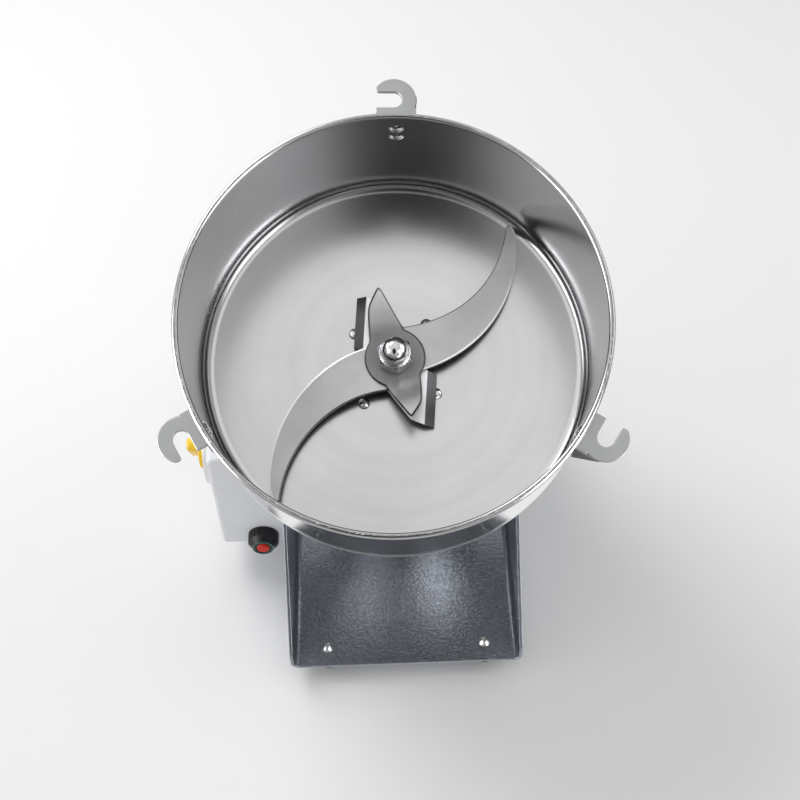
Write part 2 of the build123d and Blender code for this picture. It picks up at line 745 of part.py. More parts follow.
# Motor top bracket: flange under the pot, spigot in the housing, seats for the seal and upper bearing
spigot_radius = motor_radius - motor_wall - seat
pocket_inner = upper_bearing_radius + 3 * motor_wall
pocket_outer = tie_bolt_circle - 3 * tie_bolt_radius
pocket_depth = bracket_spigot * 0.7
with BuildPart() as motor_top_bracket:
    with BuildSketch(head_section):
        band(shaft_radius + motor_wall, motor_radius, bracket_step, pot_under)
        band(shaft_radius + motor_wall, spigot_radius, bracket_low, bracket_step)
        with BuildSketch(mode=Mode.SUBTRACT):
            band(0, seal_radius + seat, seal_low - seat, pot_under)
            band(0, upper_bearing_radius + running, bracket_low, upper_bearing_high)
            band(pocket_inner, pocket_outer, bracket_low, bracket_low + pocket_depth)
    revolve(axis=head_axis)
    with Locations(head.offset(pot_under)):
        with PolarLocations(floor_screw_circle, 4, start_angle=floor_screw_angle):
            Cylinder(screw_radius + running, 2 * bracket_flange + 2 * seat, mode=Mode.SUBTRACT)
    with Locations(head.offset(bracket_low)):
        with PolarLocations(tie_bolt_circle, 4, start_angle=tie_bolt_angle):
            Cylinder(tie_bolt_radius + running, 2 * bracket_spigot, mode=Mode.SUBTRACT)
motor_top_bracket.part.label = "motor_top_bracket"
export_step(motor_top_bracket.part, "parts/motor_top_bracket.step")

# Motor housing: a tube with air slots above the stator
vent_level = bracket_low - fan_height / 2 - gap
with BuildPart() as motor_housing:
    with BuildSketch(head_section):
        band(motor_radius - motor_wall, motor_radius, housing_low, bracket_step)
    revolve(axis=head_axis)
    for direction in (90, 270):
        for step in range(-2, 3):
            with BuildSketch(outwards(direction + 12 * step, vent_level)):
                SlotOverall(vent_length, vent_width, rotation=90)
            extrude(amount=2 * motor_radius, mode=Mode.SUBTRACT)
        with Locations(outwards(direction, brush_level).offset(motor_radius)):
            Cylinder(brush_cap_radius + seat, 4 * motor_wall, mode=Mode.SUBTRACT)
    with Locations(trunnion_plane):
        with GridLocations(trunnion_screw_span, trunnion_screw_span, 2, 2):
            Cylinder(screw_radius + running, 4 * motor_radius, mode=Mode.SUBTRACT)
motor_housing.part.label = "motor_housing"
export_step(motor_housing.part, "parts/motor_housing.step")

# Motor end cap: vented disc with the lower bearing's hub
with BuildPart() as motor_end_cap:
    with BuildSketch(head_section) as cap_profile:
        band(0, motor_radius, cap_low, housing_low)
        band(0, end_cap_hub_radius, housing_low, housing_low + end_cap_hub_height)
        band(spigot_radius - 2 * motor_wall, spigot_radius, housing_low, housing_low + 2 * motor_wall)
        fillet(near(cap_profile, (motor_radius, cap_low)), end_cap_round)
        with BuildSketch(mode=Mode.SUBTRACT):
            band(0, lower_bearing_radius + running, housing_low, housing_low + end_cap_hub_height)
    revolve(axis=head_axis)
    vent_circle = (end_cap_hub_radius + tie_bolt_circle) / 2
    with BuildSketch(head.offset(cap_low)):
        with PolarLocations(vent_circle, vent_count):
            SlotOverall(vent_length, vent_width)
    extrude(amount=end_cap_thickness, mode=Mode.SUBTRACT)
    with Locations(head.offset(cap_low)):
        with PolarLocations(tie_bolt_circle, 4, start_angle=tie_bolt_angle):
            Cylinder(tie_bolt_radius + seat, 4 * end_cap_thickness, mode=Mode.SUBTRACT)
motor_end_cap.part.label = "motor_end_cap"
export_step(motor_end_cap.part, "parts/motor_end_cap.step")

tie_bolt_length = bracket_low + bracket_spigot - seat - cap_low
tie_bolt = dome_screw(length=tie_bolt_length, shank=tie_bolt_radius)
cap_outside = Plane(origin=head.offset(cap_low).origin, x_dir=head.x_dir, z_dir=-head.z_dir)
with BuildPart() as motor_tie_bolts:
    with Locations(cap_outside):
        with PolarLocations(tie_bolt_circle, 4, start_angle=tie_bolt_angle):
            add(tie_bolt)
motor_tie_bolts.part.label = "motor_tie_bolts"
export_step(motor_tie_bolts.part, "parts/motor_tie_bolts.step")

# Stator: a yoke ring with two wound poles
with BuildPart() as stator_core:
    with BuildSketch(head_section):
        band(stator_yoke, spigot_radius, stator_low, stator_high)
    revolve(axis=head_axis)
    for direction in (0, 180):
        with BuildSketch(across(direction - pole_neck_span / 2, 0)):
            band(pole_radius, stator_yoke + pole_tip, stator_low, stator_high)
        revolve(axis=head_axis, revolution_arc=pole_neck_span)
        with BuildSketch(across(direction - pole_span / 2, 0)):
            band(pole_radius, pole_radius + pole_tip, stator_low, stator_high)
        revolve(axis=head_axis, revolution_arc=pole_span)
    with Locations(head.offset(stator_mid)):
        with PolarLocations(tie_bolt_circle, 4, start_angle=tie_bolt_angle):
            Cylinder(tie_bolt_radius + gap, 2 * stator_length, mode=Mode.SUBTRACT)
stator_core.part.label = "stator_core"
export_step(stator_core.part, "parts/stator_core.step")

# Field coils: one frame of wire round each pole's neck
coil_inner = pole_radius + pole_tip + gap
coil_outer = stator_yoke - gap
neck_room = pole_neck_span + neck_slack
with BuildPart() as field_coils:
    for direction in (0, 180):
        with BuildSketch(across(direction - coil_span / 2, 0)):
            band(coil_inner, coil_outer, stator_low - coil_overhang, stator_high + coil_overhang)
        revolve(axis=head_axis, revolution_arc=coil_span)
        with BuildSketch(across(direction - neck_room / 2, 0)):
            band(pole_radius, stator_yoke, stator_low - gap, stator_high + gap)
        revolve(axis=head_axis, revolution_arc=neck_room, mode=Mode.SUBTRACT)
field_coils.part.label = "field_coils"
export_step(field_coils.part, "parts/field_coils.step")

# Ball bearings, as closed rings
with BuildPart() as upper_bearing:
    with BuildSketch(head_section):
        band(shaft_radius + running, upper_bearing_radius, upper_bearing_low, upper_bearing_high)
    revolve(axis=head_axis)
    chamfer(upper_bearing.edges().filter_by(GeomType.CIRCLE), gap)
upper_bearing.part.label = "upper_bearing"
export_step(upper_bearing.part, "parts/upper_bearing.step")

with BuildPart() as lower_bearing:
    with BuildSketch(head_section):
        band(journal_radius + running, lower_bearing_radius, lower_bearing_low, lower_bearing_high)
    revolve(axis=head_axis)
    chamfer(lower_bearing.edges().filter_by(GeomType.CIRCLE), gap)
lower_bearing.part.label = "lower_bearing"
export_step(lower_bearing.part, "parts/lower_bearing.step")

# Brush gear: two square holders, a carbon brush in each, and a screw cap outside the housing
brush_tip = commutator_radius + gap
cap_inner = motor_radius - motor_wall - 2 * brush_cap_radius
holder_inner = commutator_radius + 2 * holder_wall
with BuildPart() as brush_holders:
    for direction in (brush_angle, brush_angle + 180):
        with BuildSketch(outwards(direction, brush_level).offset(holder_inner)):
            Rectangle(brush_width + 2 * holder_wall, brush_height + 2 * holder_wall)
            Rectangle(brush_width + 2 * seat, brush_height + 2 * seat, mode=Mode.SUBTRACT)
        extrude(amount=cap_inner - seat - holder_inner)
brush_holders.part.label = "brush_holders"
export_step(brush_holders.part, "parts/brush_holders.step")

with BuildPart() as carbon_brushes:
    for direction in (brush_angle, brush_angle + 180):
        with BuildSketch(outwards(direction, brush_level).offset(brush_tip)):
            Rectangle(brush_width, brush_height)
        extrude(amount=brush_length)
carbon_brushes.part.label = "carbon_brushes"
export_step(carbon_brushes.part, "parts/carbon_brushes.step")

with BuildPart() as brush_caps:
    for direction in (brush_angle, brush_angle + 180):
        with Locations(outwards(direction, brush_level).offset(cap_inner)):
            Cylinder(brush_cap_radius, motor_radius + gap - cap_inner, align=LOW)
        with Locations(outwards(direction, brush_level).offset(motor_radius + gap)):
            Cylinder(brush_cap_head_radius, brush_cap_head_height, align=LOW)
        with Locations(outwards(direction, brush_level).offset(motor_radius + gap + brush_cap_head_height)):
            Box(2 * brush_cap_head_radius, brush_cap_head_height / 2, brush_cap_head_height,
                mode=Mode.SUBTRACT)
brush_caps.part.label = "brush_caps"
export_step(brush_caps.part, "parts/brush_caps.step")

# Trunnions: saddle pads on the housing with a boss for the pivot bush
bush_outer = pin_radius + running + bush_wall
pad_face = motor_radius + trunnion_pad_thickness
with BuildPart() as trunnion_right:
    with BuildSketch(trunnion_plane):
        RectangleRounded(trunnion_pad, trunnion_pad, trunnion_pad_round)
    extrude(amount=pad_face)
    with BuildSketch(trunnion_plane):
        Circle(trunnion_boss_radius)
    extrude(amount=trunnion_face)
    with Locations(head):
        Cylinder(motor_radius + seat, 4 * trunnion_pad, mode=Mode.SUBTRACT)
    with Locations(trunnion_plane):
        Cylinder(bush_outer + seat, 4 * trunnion_face, mode=Mode.SUBTRACT)
        with GridLocations(trunnion_screw_span, trunnion_screw_span, 2, 2):
            Cylinder(screw_radius + seat, 4 * trunnion_face, mode=Mode.SUBTRACT)
trunnion_right.part.label = "trunnion_right"
export_step(trunnion_right.part, "parts/trunnion_right.step")

with BuildPart() as trunnion_left:
    mirror(trunnion_right.part, about=Plane.YZ)
trunnion_left.part.label = "trunnion_left"
export_step(trunnion_left.part, "parts/trunnion_left.step")

with BuildPart() as pivot_bushes:
    with BuildSketch(trunnion_plane.offset(motor_radius + gap)):
        Circle(bush_outer)
        Circle(pin_radius + running, mode=Mode.SUBTRACT)
    extrude(amount=trunnion_face - motor_radius - gap)
    mirror(about=Plane.YZ)
pivot_bushes.part.label = "pivot_bushes"
export_step(pivot_bushes.part, "parts/pivot_bushes.step")

trunnion_screw = dome_screw(length=trunnion_pad_thickness + 2 * motor_wall - gap)
with BuildPart() as trunnion_screws:
    with Locations(trunnion_plane.offset(pad_face)):
        with GridLocations(trunnion_screw_span, trunnion_screw_span, 2, 2):
            add(trunnion_screw)
    mirror(about=Plane.YZ)
trunnion_screws.part.label = "trunnion_screws"
export_step(trunnion_screws.part, "parts/trunnion_screws.step")

# Motor shaft: lower journal, main length up to a shoulder, and the threaded end for the blades
thread_top = nut_low + nut_thread_depth - gap
with BuildPart() as motor_shaft:
    with BuildSketch(head_section):
        band(0, journal_radius, lower_bearing_low + gap, lower_bearing_high + gap)
        band(0, shaft_radius, lower_bearing_high + gap, shoulder_level)
        band(0, thread_radius, shoulder_level, thread_top)
    revolve(axis=head_axis)
motor_shaft.part.label = "motor_shaft"
export_step(motor_shaft.part, "parts/motor_shaft.step")

# Armature: slotted core, end windings, commutator and fan
armature_radius = pole_radius - air_gap
with BuildPart() as armature_core:
    with BuildSketch(head.offset(stator_low)):
        Circle(armature_radius)
        Circle(shaft_radius + running, mode=Mode.SUBTRACT)
        with PolarLocations(armature_radius - slot_depth / 2, armature_slots):
            SlotOverall(slot_depth, slot_width, mode=Mode.SUBTRACT)
        with PolarLocations(armature_radius, armature_slots):
            Rectangle(slot_width, slot_width / 2, mode=Mode.SUBTRACT)
    extrude(amount=stator_length)
armature_core.part.label = "armature_core"
export_step(armature_core.part, "parts/armature_core.step")

with BuildPart() as armature_windings:
    for low in (winding_low, stator_high + seat):
        with BuildSketch(head_section) as end_turns:
            band(shaft_radius + running, winding_radius, low, low + winding_height - seat)
            outer_low = (winding_radius, low)
            outer_high = (winding_radius, low + winding_height - seat)
            fillet(near(end_turns, outer_low, outer_high), winding_height * 0.4)
        revolve(axis=head_axis)
armature_windings.part.label = "armature_windings"
export_step(armature_windings.part, "parts/armature_windings.step")

with BuildPart() as commutator:
    with BuildSketch(head.offset(commutator_low)):
        Circle(commutator_radius)
        Circle(shaft_radius + running, mode=Mode.SUBTRACT)
        with PolarLocations(commutator_radius, commutator_bars):
            Rectangle(2 * bar_slit, bar_slit, mode=Mode.SUBTRACT)
    extrude(amount=commutator_length)
commutator.part.label = "commutator"
export_step(commutator.part, "parts/commutator.step")

with BuildPart() as cooling_fan:
    with BuildSketch(head.offset(fan_low)):
        Circle(fan_radius)
    extrude(amount=fan_disc)
    with BuildSketch(head.offset(fan_low)):
        Circle(fan_hub_radius)
    extrude(amount=fan_height)
    with Locations(head.offset(fan_low)):
        with PolarLocations(fan_hub_radius - fan_disc, fan_blades):
            Box(fan_radius - fan_hub_radius, fan_blade_thickness, fan_height,
                align=(Align.MIN, Align.CENTER, Align.MIN))
    with Locations(head.offset(fan_low)):
        Cylinder(shaft_radius + running, 4 * fan_height, mode=Mode.SUBTRACT)
cooling_fan.part.label = "cooling_fan"
export_step(cooling_fan.part, "parts/cooling_fan.step")

# Blade stack on the shaft's end
bore = thread_radius + running
with BuildPart() as blade_spacer:
    with BuildSketch(head.offset(shoulder_level)):
        Circle(spacer_radius)
        Circle(bore, mode=Mode.SUBTRACT)
    extrude(amount=spacer_height)
blade_spacer.part.label = "blade_spacer"
export_step(blade_spacer.part, "parts/blade_spacer.step")


def bent_strip(half_profile, thickness):
    """Outline of a sheet bent alike on both sides, from points (distance, rise) of its lower face."""
    lower = [(-x, y) for x, y in reversed(half_profile)] + half_profile
    upper = [(x, y + thickness) for x, y in reversed(lower)]
    Polygon(*lower, *upper, align=None)


def curved_strip(start, end, leaving, thickness):
    """Outline of a sheet, flat in its middle, that curves alike on both sides.

    The curve runs from (start, 0) to the point end and goes on straight in the direction leaving.
    """
    far = (end[0] + leaving[0], end[1] + leaving[1])
    with BuildSketch() as strip:
        with BuildLine():
            lower = Spline((start, 0), end, tangents=((1, 0), leaving))
            upper = Spline((start, thickness), (end[0], end[1] + thickness), tangents=((1, 0), leaving))
            Polyline(lower @ 1, far, (far[0], far[1] + thickness), upper @ 1)
            Line((0, 0), lower @ 0)
            Line((0, thickness), upper @ 0)
            mirror(about=Plane.YZ)
        make_face()
    return strip.sketch


# Lower blade: a flat hub with two wings, each with a flap bent down along its outer edge
flap_drop = flap_reach * sin(radians(flap_drop_angle)) / cos(radians(flap_drop_angle))
with BuildPart() as lower_blade:
    with BuildSketch(across(flap_heading, lower_blade_low)):
        bent_strip([(flap_fold, 0), (flap_fold + flap_reach, -flap_drop)], lower_blade_sheet)
    extrude(amount=2 * flap_end, both=True)
    with BuildSketch(at_angle(flap_heading, lower_blade_low - 2 * flap_drop)):
        Circle(hub_radius)
        with PolarLocations(0, 2):
            Polygon(
                (0, 0),
                (flap_fold + flap_reach, -flap_root),
                (flap_fold + flap_reach, -flap_end),
                (flap_fold, -flap_end),
                lower_wing_tip,
                lower_wing_root,
                align=None,
            )
        Circle(bore, mode=Mode.SUBTRACT)
    extrude(amount=4 * flap_drop, mode=Mode.INTERSECT)
lower_blade.part.label = "lower_blade"
export_step(lower_blade.part, "parts/lower_blade.step")

# Main blade: two arms in an S, each curved down so that it sweeps closer to the floor
with BuildSketch() as arm_outline:
    with Locations(arm_back_centre):
        Circle(arm_back_radius)
    with Locations(arm_edge_centre):
        Circle(arm_edge_radius, mode=Mode.SUBTRACT)
    Circle(arm_tip_radius, mode=Mode.INTERSECT)
    Rectangle(2 * arm_tip_radius, 2 * arm_tip_radius, align=(Align.MIN, Align.CENTER), mode=Mode.INTERSECT)
    fillet(arm_outline.vertices().sort_by(Axis.X)[-1:], arm_tip_round)
with BuildPart() as main_blade:
    with BuildSketch(across(arm_heading, main_blade_low)):
        arm_bend = (arm_curve_end, -arm_drop)
        add(curved_strip(arm_curve_start, arm_bend, (arm_tip_radius, 0), main_blade_sheet))
    extrude(amount=2 * arm_tip_radius, both=True)
    with BuildSketch(head.offset(main_blade_low - 2 * arm_drop)):
        Circle(hub_radius)
        with PolarLocations(0, 2):
            add(arm_outline.sketch)
        Circle(bore, mode=Mode.SUBTRACT)
    extrude(amount=4 * arm_drop, mode=Mode.INTERSECT)
main_blade.part.label = "main_blade"
export_step(main_blade.part, "parts/main_blade.step")

# Upper blade: a round hub with two pointed wings bent upwards
wing_slope = sin(radians(wing_rise_angle)) / cos(radians(wing_rise_angle))
wing_run = 2 * hub_radius
wing_bend_rise = (wing_bend_end - wing_bend_start) * wing_slope / 2
with BuildPart() as upper_blade:
    with BuildSketch(across(wing_heading, upper_blade_low)):
        wing_bend = (wing_bend_end, wing_bend_rise)
        add(curved_strip(wing_bend_start, wing_bend, (wing_run, wing_run * wing_slope), upper_blade_sheet))
    extrude(amount=2 * wing_run, both=True)
    with BuildSketch(head.offset(upper_blade_low - upper_blade_sheet)) as wings:
        with PolarLocations(0, 2):
            Polygon((0, 0), wing_root_front, wing_shoulder, wing_tip, wing_root_back, align=None)
        opposite_tip = (-wing_tip[0], -wing_tip[1])
        fillet(near(wings, wing_tip, opposite_tip), wing_tip_round)
        Circle(hub_radius)
        Circle(bore, mode=Mode.SUBTRACT)
    extrude(amount=wing_run, mode=Mode.INTERSECT)
upper_blade.part.label = "upper_blade"
export_step(upper_blade.part, "parts/upper_blade.step")

with BuildPart() as lock_washer:
    with BuildSketch(head.offset(washer_low)):
        Circle(lock_washer_radius)
        Circle(bore, mode=Mode.SUBTRACT)
    extrude(amount=lock_washer_height)
lock_washer.part.label = "lock_washer"
export_step(lock_washer.part, "parts/lock_washer.step")

# Cap nut: a chamfered hexagon with a domed crown over the blind thread
nut_top = nut_low + nut_height
with BuildPart() as cap_nut:
    with BuildSketch(head.offset(nut_low)):
        RegularPolygon(nut_width / 2, 6, major_radius=False, rotation=nut_angle)
    extrude(amount=nut_height)
    with BuildSketch(head_section):
        Polygon((0, nut_low), (nut_width * 0.57, nut_low), (nut_width * 0.57, nut_top - nut_height * 0.2),
                (nut_width * 0.48, nut_top), (0, nut_top), align=None)
    revolve(axis=head_axis, mode=Mode.INTERSECT)
    with BuildSketch(head_section):
        with BuildLine():
            crown = TangentArc((0, nut_top + nut_crown), (nut_dome_radius, nut_top + nut_crown * 0.3),
                               tangent=(1, 0))
            Polyline(crown @ 1, (nut_dome_radius, nut_top - seat), (0, nut_top - seat), crown @ 0)
        make_face()
    revolve(axis=head_axis)
    with BuildSketch(head.offset(nut_low)):
        Circle(bore)
    extrude(amount=nut_thread_depth, mode=Mode.SUBTRACT)
cap_nut.part.label = "cap_nut"
export_step(cap_nut.part, "parts/cap_nut.step")
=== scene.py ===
# %% [markdown]
# A swing-type powder grinder in a small photo studio
#
# The CAD model gives every solid of the machine: the base, the tilted head with its pot and motor, the blades,
# the timer and the overload breaker. This file loads that model as a fixed frame, gives each surface its finish,
# replaces the pieces whose smooth surface matters most, and sets up the camera, the light and the floor.
# Everything is in metres, in the frame of the CAD model: X to the right, Y to the back, Z up.

# %% Load the frame
import json
import bpy
import numpy as np
from math import radians
from mathutils import Matrix, Vector


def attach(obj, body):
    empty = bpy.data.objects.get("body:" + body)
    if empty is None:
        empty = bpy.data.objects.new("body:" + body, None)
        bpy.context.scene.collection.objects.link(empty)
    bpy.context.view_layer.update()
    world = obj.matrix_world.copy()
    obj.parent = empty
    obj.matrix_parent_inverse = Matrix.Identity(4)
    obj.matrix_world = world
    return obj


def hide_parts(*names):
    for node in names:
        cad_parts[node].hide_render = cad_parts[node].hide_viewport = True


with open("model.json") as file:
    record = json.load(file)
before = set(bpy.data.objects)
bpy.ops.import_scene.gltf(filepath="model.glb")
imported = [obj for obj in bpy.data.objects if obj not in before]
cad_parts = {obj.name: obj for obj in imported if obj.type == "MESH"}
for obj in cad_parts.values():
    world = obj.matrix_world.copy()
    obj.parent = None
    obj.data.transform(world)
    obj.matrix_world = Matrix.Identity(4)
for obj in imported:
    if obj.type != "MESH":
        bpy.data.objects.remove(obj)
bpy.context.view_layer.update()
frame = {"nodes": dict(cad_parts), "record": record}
nodes = frame["nodes"]
slot_of = {part["node"]: part["material_slot"] for part in frame["record"]["subparts"]}
print(len(nodes), "CAD nodes,", len(set(slot_of.values())), "finishes")

# %% [markdown]
# The head's own directions
#
# The pot, the motor and the blades share one axis, which leans to the front. RIGHT and BACK lie in the plane of the
# pot's floor, OUT points along the axis out of the pot, and PIVOT is the point where the axis meets the swing axis.

# %% Head
TILT = 25.3
PIVOT = np.array([0.0, 0.0, 0.137])
RIGHT = np.array([1.0, 0.0, 0.0])
BACK = np.array([0.0, np.cos(radians(TILT)), np.sin(radians(TILT))])
OUT = np.array([0.0, -np.sin(radians(TILT)), np.cos(radians(TILT))])
print("head leans", TILT, "degrees")

# %% [markdown]
# Camera
#
# The photograph looks down into the pot at 51 degrees, from about 0.8 m up, and the camera is held slightly askew.
# The rim and the floor of the pot are circles, so their ellipses give the lens and the angle. A Track To constraint
# could aim the camera, but it would hold it level. A new camera looks straight down, so its matrix turns it up about X
# by the rest of a right angle, and then about its own view axis.

# %% Camera
LOOK_DOWN = 51.2
ASKEW = -2.12
FOCAL_PIXELS = 1375.0
FRAME_PIXELS = 800.0
CAMERA_PLACE = Vector((0.00199, -0.5462, 0.79275))

camera_data = bpy.data.cameras.new("camera")
camera = bpy.data.objects.new("camera", camera_data)
bpy.context.scene.collection.objects.link(camera)
camera_data.sensor_width = 36.0
camera_data.lens = FOCAL_PIXELS / FRAME_PIXELS * camera_data.sensor_width
turn_down = Matrix.Rotation(radians(90 - LOOK_DOWN), 4, "X")
turn_askew = Matrix.Rotation(radians(ASKEW), 4, "Z")
camera.matrix_world = Matrix.Translation(CAMERA_PLACE) @ turn_down @ turn_askew
bpy.context.scene.camera = camera
print("lens", round(camera_data.lens, 1), "mm")

# %% [markdown]
# Helpers for node trees
#
# The floor, the world and every finish are small trees of shader nodes. These helpers add a node, set or link its
# sockets and give back its output, so that a tree reads like a formula.

# %% Node helpers


def new_node(tree, kind, operation=None):
    """A new node in a tree, with its operation where it has one."""
    node = tree.nodes.new(kind)
    if operation:
        node.operation = operation
    return node


def set_inputs(node, values):
    """Sets sockets of a node by their labels."""
    for label, value in values.items():
        node.inputs[label].default_value = value


def set_or_link(tree, socket, value):
    """A socket takes a colour or a number, or a link from another node's output."""
    if isinstance(value, bpy.types.NodeSocket):
        tree.links.new(value, socket)
    elif isinstance(value, tuple):
        socket.default_value = (*value, 1)
    else:
        socket.default_value = value


def math_node(tree, operation, first, second):
    """A math node on two sockets or numbers."""
    node = new_node(tree, "ShaderNodeMath", operation)
    set_or_link(tree, node.inputs[0], first)
    set_or_link(tree, node.inputs[1], second)
    return node.outputs[0]


def passage(tree, value, low, high, at_low=0.0, at_high=1.0, curve="SMOOTHSTEP"):
    """A level that passes from one to another while a value goes from low to high, and is held beyond them."""
    node = new_node(tree, "ShaderNodeMapRange")
    node.interpolation_type = curve
    tree.links.new(value, node.inputs["Value"])
    for label, level in zip(("From Min", "From Max", "To Min", "To Max"), (low, high, at_low, at_high)):
        set_or_link(tree, node.inputs[label], level)
    return node.outputs[0]


def glow(tree, kind, colour, strength=1.0):
    """An emission or background shader of a colour or a colour socket."""
    node = new_node(tree, kind)
    set_or_link(tree, node.inputs["Color"], colour)
    node.inputs["Strength"].default_value = strength
    return node.outputs[0]


def pick(tree, share, first, second):
    """A mix of two shaders: the first where the share is 0 and the second where it is 1."""
    node = new_node(tree, "ShaderNodeMixShader")
    for socket, source in zip(node.inputs, (share, first, second)):
        tree.links.new(source, socket)
    return node.outputs[0]


# %% [markdown]
# Floor, light and world
#
# Polished steel has hardly any colour of its own: it shows what stands around it. So the studio matters as much as
# the metal. A broad soft lamp hangs over the back left, weaker ones stand on both sides, and the world is an even
# pale room. In reflections the room has a dark part on the camera's side. That dark part is what the far wall of the
# pot mirrors, because wall and floor meet at a right angle and send a ray back the way it came. Behind the machine
# the mirrored room is a bright backdrop, for the blades and the pot's floor. Two tall cards at the front light no
# matt surface. They are seen in glossy ones only, and give the light bands on the base's paint.
#
# The floor fades to white far from the machine where the camera sees it, and to grey where a mirror shows it.

# %% Floor
FLOOR_HALF = 6.0
FLOOR_TONE = (0.88, 0.88, 0.88)
FLOOR_ROUGHNESS = 0.8
FAR_TONE = (0.97, 0.97, 0.97)
SIGHT_FADE = (0.65, 2.0)
MIRROR_FADE = (0.40, 1.60)
MIRROR_LEVELS = (0.88, 0.50)


def stage_plane(name, half):
    """A square of four corners on the ground, marked as stage."""
    mesh = bpy.data.meshes.new(name)
    mesh.from_pydata([(-half, -half, 0), (half, -half, 0), (half, half, 0), (-half, half, 0)], [], [(0, 1, 2, 3)])
    plane = bpy.data.objects.new(name, mesh)
    bpy.context.scene.collection.objects.link(plane)
    return plane


floor = stage_plane("floor", FLOOR_HALF)
floor_paint = bpy.data.materials.new("floor_paint")
floor_paint.use_nodes = True
floor.data.materials.append(floor_paint)
floor_tree = floor_paint.node_tree
floor_shader = floor_tree.nodes["Principled BSDF"]
set_or_link(floor_tree, floor_shader.inputs["Base Color"], FLOOR_TONE)
set_inputs(floor_shader, {"Roughness": FLOOR_ROUGHNESS, "Specular IOR Level": 0.0})
print("floor", 2 * FLOOR_HALF, "m wide")

# %% Floor, what each ray gets
floor_reach = new_node(floor_tree, "ShaderNodeVectorMath", "LENGTH")
floor_tree.links.new(new_node(floor_tree, "ShaderNodeTexCoord").outputs["Object"], floor_reach.inputs[0])
distance = floor_reach.outputs["Value"]
rays = new_node(floor_tree, "ShaderNodeLightPath").outputs
mirror_level = passage(floor_tree, distance, *MIRROR_FADE, *MIRROR_LEVELS)
mirror_glow = glow(floor_tree, "ShaderNodeEmission", mirror_level)
far_glow = glow(floor_tree, "ShaderNodeEmission", FAR_TONE)
far_seen = math_node(floor_tree, "MULTIPLY", passage(floor_tree, distance, *SIGHT_FADE), rays["Is Camera Ray"])
near_floor = pick(floor_tree, rays["Is Glossy Ray"], floor_shader.outputs[0], mirror_glow)
whole_floor = pick(floor_tree, far_seen, near_floor, far_glow)
floor_tree.links.new(whole_floor, floor_tree.nodes["Material Output"].inputs["Surface"])
print("floor fades from", SIGHT_FADE[0], "to", SIGHT_FADE[1], "m")

# %% Lamps
AIM = Vector((0.0, -0.03, 0.17))


def soft_lamp(name, spot, width, power, height=None):
    """An area lamp that faces the middle of the pot, square where no height is given."""
    data = bpy.data.lights.new(name, "AREA")
    data.shape = "RECTANGLE"
    data.size = width
    data.size_y = height or width
    data.energy = power
    lamp = bpy.data.objects.new(name, data)
    bpy.context.scene.collection.objects.link(lamp)
    facing_pot = (Vector(spot) - AIM).to_track_quat("Z", "Y").to_matrix().to_4x4()
    lamp.matrix_world = Matrix.Translation(spot) @ facing_pot
    return lamp


soft_lamp("key_lamp", (-0.62, 0.55, 1.15), 0.7, 9.0)
soft_lamp("side_lamp", (1.05, 0.10, 0.85), 0.8, 2.5)
soft_lamp("left_fill", (-1.15, -0.35, 0.60), 0.8, 1.6)
for card in (soft_lamp("left_card", (-1.20, -0.37, 0.55), 1.0, 25.0, height=1.1),
             soft_lamp("right_card", (0.95, -0.80, 0.55), 0.6, 14.0, height=1.1)):
    card.visible_diffuse = False

# %% World, what a mirror sees
DARK_TOWARDS = Vector((-0.12, -0.72, 0.69)).normalized()
DARK_NARROW = 1.7
DARK_EDGE = (0.865, 0.96)
DARK_LEVEL = 0.03
CEILING_RISE = (0.10, 0.58)
HORIZON_LEVEL = 0.45
CEILING_LEVEL = 1.0
BACKDROP_RISE = (0.30, 0.75)
BACKDROP_LEVEL = 1.0
SHADY_RISE = (0.25, 0.80)
SHADY_LEVEL = 0.55

world = bpy.data.worlds.new("studio")
bpy.context.scene.world = world
world.use_nodes = True
room_tree = world.node_tree
room_tree.nodes.clear()
direction = new_node(room_tree, "ShaderNodeTexCoord").outputs["Generated"]
narrow = new_node(room_tree, "ShaderNodeVectorMath", "MULTIPLY")
narrow.inputs[1].default_value = (DARK_NARROW, 1, 1)
narrowed = new_node(room_tree, "ShaderNodeVectorMath", "NORMALIZE")
facing = new_node(room_tree, "ShaderNodeVectorMath", "DOT_PRODUCT")
facing.inputs[1].default_value = DARK_TOWARDS
parts = new_node(room_tree, "ShaderNodeSeparateXYZ")
for source, node in ((direction, narrow), (narrow.outputs[0], narrowed), (narrowed.outputs[0], facing),
                     (direction, parts)):
    room_tree.links.new(source, node.inputs[0])
room = passage(room_tree, parts.outputs["Z"], *CEILING_RISE, HORIZON_LEVEL, CEILING_LEVEL)
backdrop = passage(room_tree, parts.outputs["Y"], *BACKDROP_RISE, 0.0, BACKDROP_LEVEL)
shady_side = passage(room_tree, parts.outputs["X"], *SHADY_RISE, 1.0, SHADY_LEVEL)
dark_part = passage(room_tree, facing.outputs["Value"], *DARK_EDGE, 1.0, DARK_LEVEL)
lit_room = math_node(room_tree, "MULTIPLY", math_node(room_tree, "MAXIMUM", room, backdrop), shady_side)
mirrored = math_node(room_tree, "MULTIPLY", lit_room, dark_part)
print("dark part of the room towards", [round(part, 2) for part in DARK_TOWARDS])

# %% World, what each ray gets
ROOM_LIGHT = 0.55
WHITE = (1.0, 1.0, 1.0)

